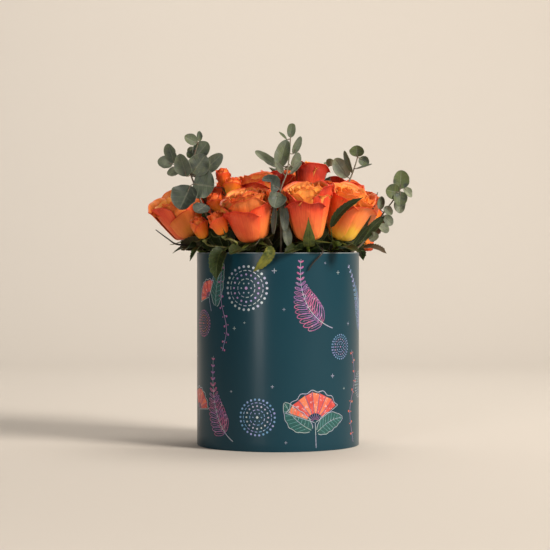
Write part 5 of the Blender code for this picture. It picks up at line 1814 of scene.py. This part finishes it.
BRANCHES = (
    # The left branch's low tone and the negative pale of its two big low leaves are in part painted shade: it
    # stands on the side away from the key light.
    Branch("eucalyptus_left", (-44, -24), tone=0.14, seed=41, route=(
        (-62, -34, 216), (-77, -46, 250), (-89, -52, 281), (-92, -53, 292), (-89, -52, 306), (-84, -51, 323)
    ), twigs=(((-92, -53, 290), (-103, -52, 296), (-109, -52, 300)),), leaves=(
        Leaf((-89, -57, 279), (-67, -62, 276), 34, 15, 15, -0.12),
        Leaf((-92, -57, 277), (-103, -64, 252), 30, -20, 10, -0.12),
        Leaf((-96, -58, 287), (-103, -65, 310), 18, -20, 5, 0.35),
        Leaf((-90, -56, 290), (-76, -59, 309), 23, 15, 10, 0.1),
        Leaf((-87, -49, 307), (-74, -50, 323), 18, 10, 25, 0.25),
        Leaf((-109, -55, 301), (-116, -60, 321), 15, -30, 0, 0.4),
        Leaf((-111, -49, 300), (-127, -46, 304), 14, -20, 20, 0.15),
        Leaf((-103, -49, 294), (-117, -48, 290), 11, 0, 30),
        Leaf((-80, -46, 291), (-59, -44, 311), 15, 20, 5),
        Leaf((-85, -54, 322), (-98, -58, 329), 12, -10, 20, 0.2, 0.9),
        Leaf((-83, -50, 324), (-83, -47, 335), 6, 20, 0),
        Leaf((-89, -50, 315), (-95, -47, 307), 9, 0, -20),
        Leaf((-76, -52, 257), (-86, -68, 249), 18, 0, 35),
    )),
    Branch("eucalyptus_middle", (0, -52), tone=0.32, seed=42, route=(
        (3, -63, 212), (3, -74, 236), (2, -79, 256), (3, -78, 272), (9, -62, 290), (12, -54, 310),
        (13, -50, 328)
    ), leaves=(
        # The negative pale of these four low leaves is in part painted shade: they hang low in front, under
        # the blooms.
        Leaf((1, -83, 273), (-16, -89, 284), 18, -15, 20, -0.25),
        Leaf((0, -84, 269), (-4, -95, 253), 20, 10, 25, -0.2),
        Leaf((6, -83, 260), (7, -84, 229), 10, 15, 0, -0.25),
        Leaf((-3, -80, 256), (-5, -82, 226), 7, -40, 0, -0.25),
        Leaf((7, -78, 236), (11, -82, 213), 10, 20, 20),
        Leaf((13, -51, 328), (15, -50, 344), 9, 0, 0),
        Leaf((9, -51, 326), (1, -50, 334), 4, 0, 60),
        Leaf((16, -52, 311), (24, -52, 329), 8, 20, 0),
        Leaf((1, -62, 296), (9, -59, 325), 16, -10, 10, 0.1, 0.3),
        Leaf((0, -54, 297), (-24, -48, 314), 11, 0, 40),
        Leaf((15, -54, 297), (22, -49, 312), 11, 30, 0),
        Leaf((5, -67, 290), (-3, -72, 301), 7, 0, 20),
        Leaf((13, -61, 289), (25, -60, 302), 5, 10, 40),
    )),
    Branch("eucalyptus_right", (48, -12), tone=0.36, seed=43, route=(
        (62, -14, 216), (70, -14, 250), (74, -12, 276), (80, -8, 292), (85, -5, 307), (86, -4, 315)
    ), leaves=(
        # This leaf's pale of 0.8 is in part its own paleness and in part painted light, lifting it out of the
        # shadow that its neighbours cast.
        Leaf((75, -7, 288), (61, -6, 308), 17, -15, 10, 0.8),
        Leaf((79, -12, 293), (71, -15, 316), 7, -35, 0, 0.0, 0.5),
        Leaf((85, -8, 310), (85, -10, 322), 16, -10, 10, 0.0, 0.9),
        Leaf((88, -5, 309), (97, -6, 301), 11, 10, 0, 0.0, 0.9),
        Leaf((84, -9, 297), (101, -12, 302), 4, 0, 60),
    )),
    Branch("eucalyptus_low_right", (52, -22), tone=0.42, seed=44, route=(
        (72, -26, 202), (90, -28, 217), (105, -26, 238), (114, -22, 251), (122, -18, 261), (130, -15, 273),
        (132, -14, 281)
    ), leaves=(
        # The negative pale of these three low leaves is in part painted shade, for leaves that hang low
        # beside the right blooms.
        Leaf((131, -18, 275), (132, -20, 295), 18, 10, 5, -0.38, 0.9),
        Leaf((129, -21, 271), (115, -27, 274), 17, -20, 0, -0.38, 0.9),
        Leaf((131, -20, 272), (130, -27, 256), 15, 0, 10, -0.34, 0.7),
        Leaf((129, -16, 264), (131, -19, 249), 12, 0, 10, 0.35),
        Leaf((135, -13, 276), (145, -11, 267), 9, 30, 0, 0.4),
        Leaf((128, -11, 266), (135, -6, 254), 11, 20, -20),
        Leaf((114, -25, 256), (121, -28, 247), 9, 0, 20),
        Leaf((113, -17, 246), (123, -12, 237), 11, 20, 10),
        Leaf((108, -25, 236), (118, -24, 229), 11, 20, 20),
        Leaf((97, -30, 222), (107, -34, 224), 12, 10, 30),
        Leaf((109, -22, 253), (111, -21, 267), 8, 0, 10),
    )),
    Branch("eucalyptus_back", (2, 44), pairs=3, seed=3, route=(
        (2, 48, 222), (4, 48, 262), (4, 52, 292), (6, 58, 320)
    )),
    Branch("eucalyptus_back_left", (-38, 34), tone=0.3, pairs=3, widths=(22.0, 10.0), seed=5, route=(
        (-66, 30, 226), (-74, 32, 262), (-82, 36, 288), (-92, 42, 312)
    )),
    Branch("eucalyptus_back_right", (34, 34), tone=0.45, pairs=3, widths=(19.0, 9.0), seed=7, route=(
        (44, 40, 222), (47, 43, 256), (50, 47, 280), (55, 52, 300)
    )),
)


@dataclass
class Eucalyptus:
    """One branch: a tapering stem, and round leaves that grow from it on short stalks.

    A leaf is the younger the nearer its width comes to the second of young_widths. Young leaves are greener
    above the heights of young_heights.
    """

    finishes: Finishes
    plan: Branch
    young_widths: tuple[float, float] = (0.017, 0.009)
    young_heights: tuple[float, float] = (0.29, 0.31)
    cups: tuple[float, float] = (0.08, 0.26)

    def paired(self, route: Sequence[Array]) -> list[LaidLeaf]:
        """Leaves in opposite pairs up the last stretch, smaller towards the tip, each pair a quarter turn on.

        Args:
            route: the stem's own places.

        Returns:
            The start, tip, width, face, paleness and olive flush of each leaf.
        """
        draw = np.random.default_rng(self.plan.seed)
        found = []
        first_width, last_width = self.plan.widths
        for pair in range(self.plan.pairs):
            up = pair / max(self.plan.pairs - 1, 1)
            share = 0.56 + 0.44 * up
            where = share * (len(route) - 1)
            low = min(int(where), len(route) - 2)
            place = route[low] + (where - low) * (route[low + 1] - route[low])
            axes = frame_along(route[low + 1] - route[low], 90.0 * pair + draw.uniform(-15, 15))
            width = (first_width + (last_width - first_width) * up) * MM
            for side in (1.0, -1.0):
                out = unit(side * axes[:, 0] + (0.5 + 0.5 * share) * axes[:, 2])
                face = unit(axes[:, 2] - 0.6 * side * axes[:, 0] + 0.2 * side * axes[:, 1])
                begin = place + out * 0.0035
                found.append((begin, begin + out * width * 1.05, width, face, 0.0, 0.0))
        return found

    def build(self) -> None:
        """Builds the branch and hides the imported node that it stands for."""
        plan = self.plan
        entry = foam_entry(*plan.entry)
        route = [foot_of(entry), entry, *bent_clear(metres(plan.route), STEM_CLEARANCE)]
        path = smooth_line(route, 60)
        solid = Solid(f"{plan.name}_branch", GREEN_CHANNELS)
        solid.add_tube(path, np.linspace(TWIG_STEM, 0.4 * TWIG_STEM, len(path)), 8)
        lines = [path]
        for places in plan.twigs:
            lines.append(smooth_line(metres(places), 16))
            solid.add_tube(lines[-1], np.linspace(0.6, 0.35, 16) * TWIG_STEM, 8)
        reach = np.concatenate(lines)
        leaves = [(metres(leaf.start), metres(leaf.tip), leaf.width * MM, face_vector(leaf.yaw, leaf.pitch),
                   leaf.pale, leaf.olive) for leaf in plan.leaves] or self.paired(route)
        draw = np.random.default_rng(plan.seed + 100)
        for number, (start, tip, width, face, pale, olive) in enumerate(leaves):
            root = nearest_on(reach, start)
            young = float(smooth(width, *self.young_widths))
            # pale shifts the tone: on some leaves it is in part painted light and shade.
            tone = float(np.clip(plan.tone + pale + draw.uniform(-0.2, 0.2) + 0.25 * young, 0.0, 1.0))
            fresh = 0.45 * young * smooth(start[2], *self.young_heights)
            green = float(olive + draw.uniform(0.0, 0.25) + fresh)
            stalk = smooth_line([root, start, start + 0.25 * (tip - start)], 9)
            solid.add_tube(bent_clear(stalk, LEAF_CLEARANCE), np.linspace(0.0006, 0.0004, 9), 6)
            bend = 0.5 * (start + tip) - face * 0.08 * np.linalg.norm(tip - start)
            Blade(start, bend, tip, width, face, Outline.ROUND, cup=float(draw.uniform(*self.cups)),
                  tone=tone, flush=min(green, 1.0), wave=0.09, seed=plan.seed * 10 + number).add_to(solid, 1)
        solid.make([self.finishes.twig, self.finishes.eucalyptus_leaf], "eucalyptus", plan.name)


# The studio

@dataclass(frozen=True)
class Lamp:
    """A soft rectangular light."""

    name: str
    place: Place
    width: float
    height: float
    power: float
    colour: Colour
    aim: Place = (0.0, 0.0, 0.2)

    def make(self) -> None:
        """Makes the light."""
        light = bpy.data.lights.new(self.name, "AREA")
        light.shape = "RECTANGLE"
        light.size, light.size_y = self.width, self.height
        light.energy = self.power
        light.color = self.colour
        lamp = add_object(self.name, light)
        lamp.location = self.place
        lamp.rotation_euler = (Vector(self.aim) - Vector(self.place)).to_track_quat("-Z", "Y").to_euler()


@dataclass
class Studio:
    """The camera at the photograph's place, a pale sweep and soft warm lights."""

    distance: float = 2.04
    eye: float = 0.2075
    sideways: float = -0.00324
    tilt_deg: float = -0.698
    lens: float = 123.6
    sensor: float = 36.0
    floor_front: float = 9.0
    floor_back: float = 1.4
    floor_side: float = 8.0
    curve: float = 1.0
    backdrop_top: float = 5.0
    sweep_colour: Colour = (0.585, 0.540, 0.487)
    room_colour: Colour = (1.0, 0.93, 0.85)
    room_strength: float = 0.065
    lamps: tuple[Lamp, ...] = (
        Lamp("key", (3.12, -2.145, 2.20), 1.36, 1.36, 243.0, (1.0, 0.93, 0.84)),
        Lamp("strip", (-0.87, -1.80, 0.40), 0.45, 1.4, 13.0, (1.0, 0.95, 0.93)),
        Lamp("top", (0.3, 0.3, 1.7), 0.8, 0.8, 12.0, (1.0, 0.95, 0.88)),
        Lamp("wall", (-0.4, 0.9, 2.0), 2.0, 0.8, 21.5, (1.0, 0.98, 0.95), (-0.2, 2.4, 0.9)),
    )

    def camera(self) -> None:
        """The camera."""
        lens = bpy.data.cameras.new("camera")
        lens.lens = self.lens
        lens.sensor_width = self.sensor
        camera = add_object("camera", lens)
        camera.location = (self.sideways, -self.distance, self.eye)
        camera.rotation_euler = (math.radians(90.0 + self.tilt_deg), 0.0, 0.0)
        bpy.context.scene.camera = camera

    def sweep(self) -> None:
        """A pale floor that curves up into a backdrop: flat, then a quarter circle, then upright."""
        turn = np.linspace(-0.5 * np.pi, 0.0, 24)
        curve = (self.floor_back, self.curve) + self.curve * on_circle(turn)
        backdrop = self.floor_back + self.curve
        profile = np.array(((-self.floor_front, 0.0), *curve, (backdrop, self.backdrop_top)))
        x = np.array((-self.floor_side, self.floor_side))
        grid = np.stack(np.broadcast_arrays(x, profile[:, :1], profile[:, 1:]), -1)
        index = np.arange(2 * len(profile)).reshape(-1, 2)
        faces = np.stack((index[:-1, 0], index[:-1, 1], index[1:, 1], index[1:, 0]), -1)
        mesh = bpy.data.meshes.new("sweep")
        mesh.from_pydata(grid.reshape(-1, 3), [], faces.tolist())
        mesh.shade_smooth()
        mesh.materials.append(Graph("sweep").dress(self.sweep_colour, 0.9))
        sweep = add_object("sweep", mesh)

    def build(self) -> None:
        """Builds the studio."""
        scene = bpy.context.scene
        scene.view_settings.view_transform = "Standard"
        world = bpy.data.worlds.new("studio")
        world.use_nodes = True
        room = world.node_tree.nodes["Background"].inputs
        room["Color"].default_value = (*self.room_colour, 1.0)
        room["Strength"].default_value = self.room_strength
        scene.world = world
        self.camera()
        self.sweep()
        for lamp in self.lamps:
            lamp.make()


def main() -> None:
    """Builds the studio, the box, the blooms and the greenery, and notes the sizes."""
    logging.basicConfig(level=logging.INFO, format="%(message)s")
    Studio().build()
    finishes = Finishes()
    Drum(finishes).build()
    for bloom in ROSES:
        rows, columns = (22, 19) if bloom.petals == 5 else (20, 17)
        Rose(bloom, finishes.petal, "rose_petal", f"{bloom.name}_rose", rows, columns).build()
        RoseStem(finishes, bloom).build()
    for bloom in BUDS:
        Rose(bloom, finishes.spray_petal, "spray_petal", bloom.name, rows=16, columns=13, petal_thick=0.0004,
             shoulder=0.30, belly=0.10, neck=0.20).build()
    Undergrowth(finishes).build()
    for plan in SPRAYS:
        Spray(finishes, plan).build()
    for branch in BRANCHES:
        Eucalyptus(finishes, branch).build()


if __name__ == "__main__":
    main()
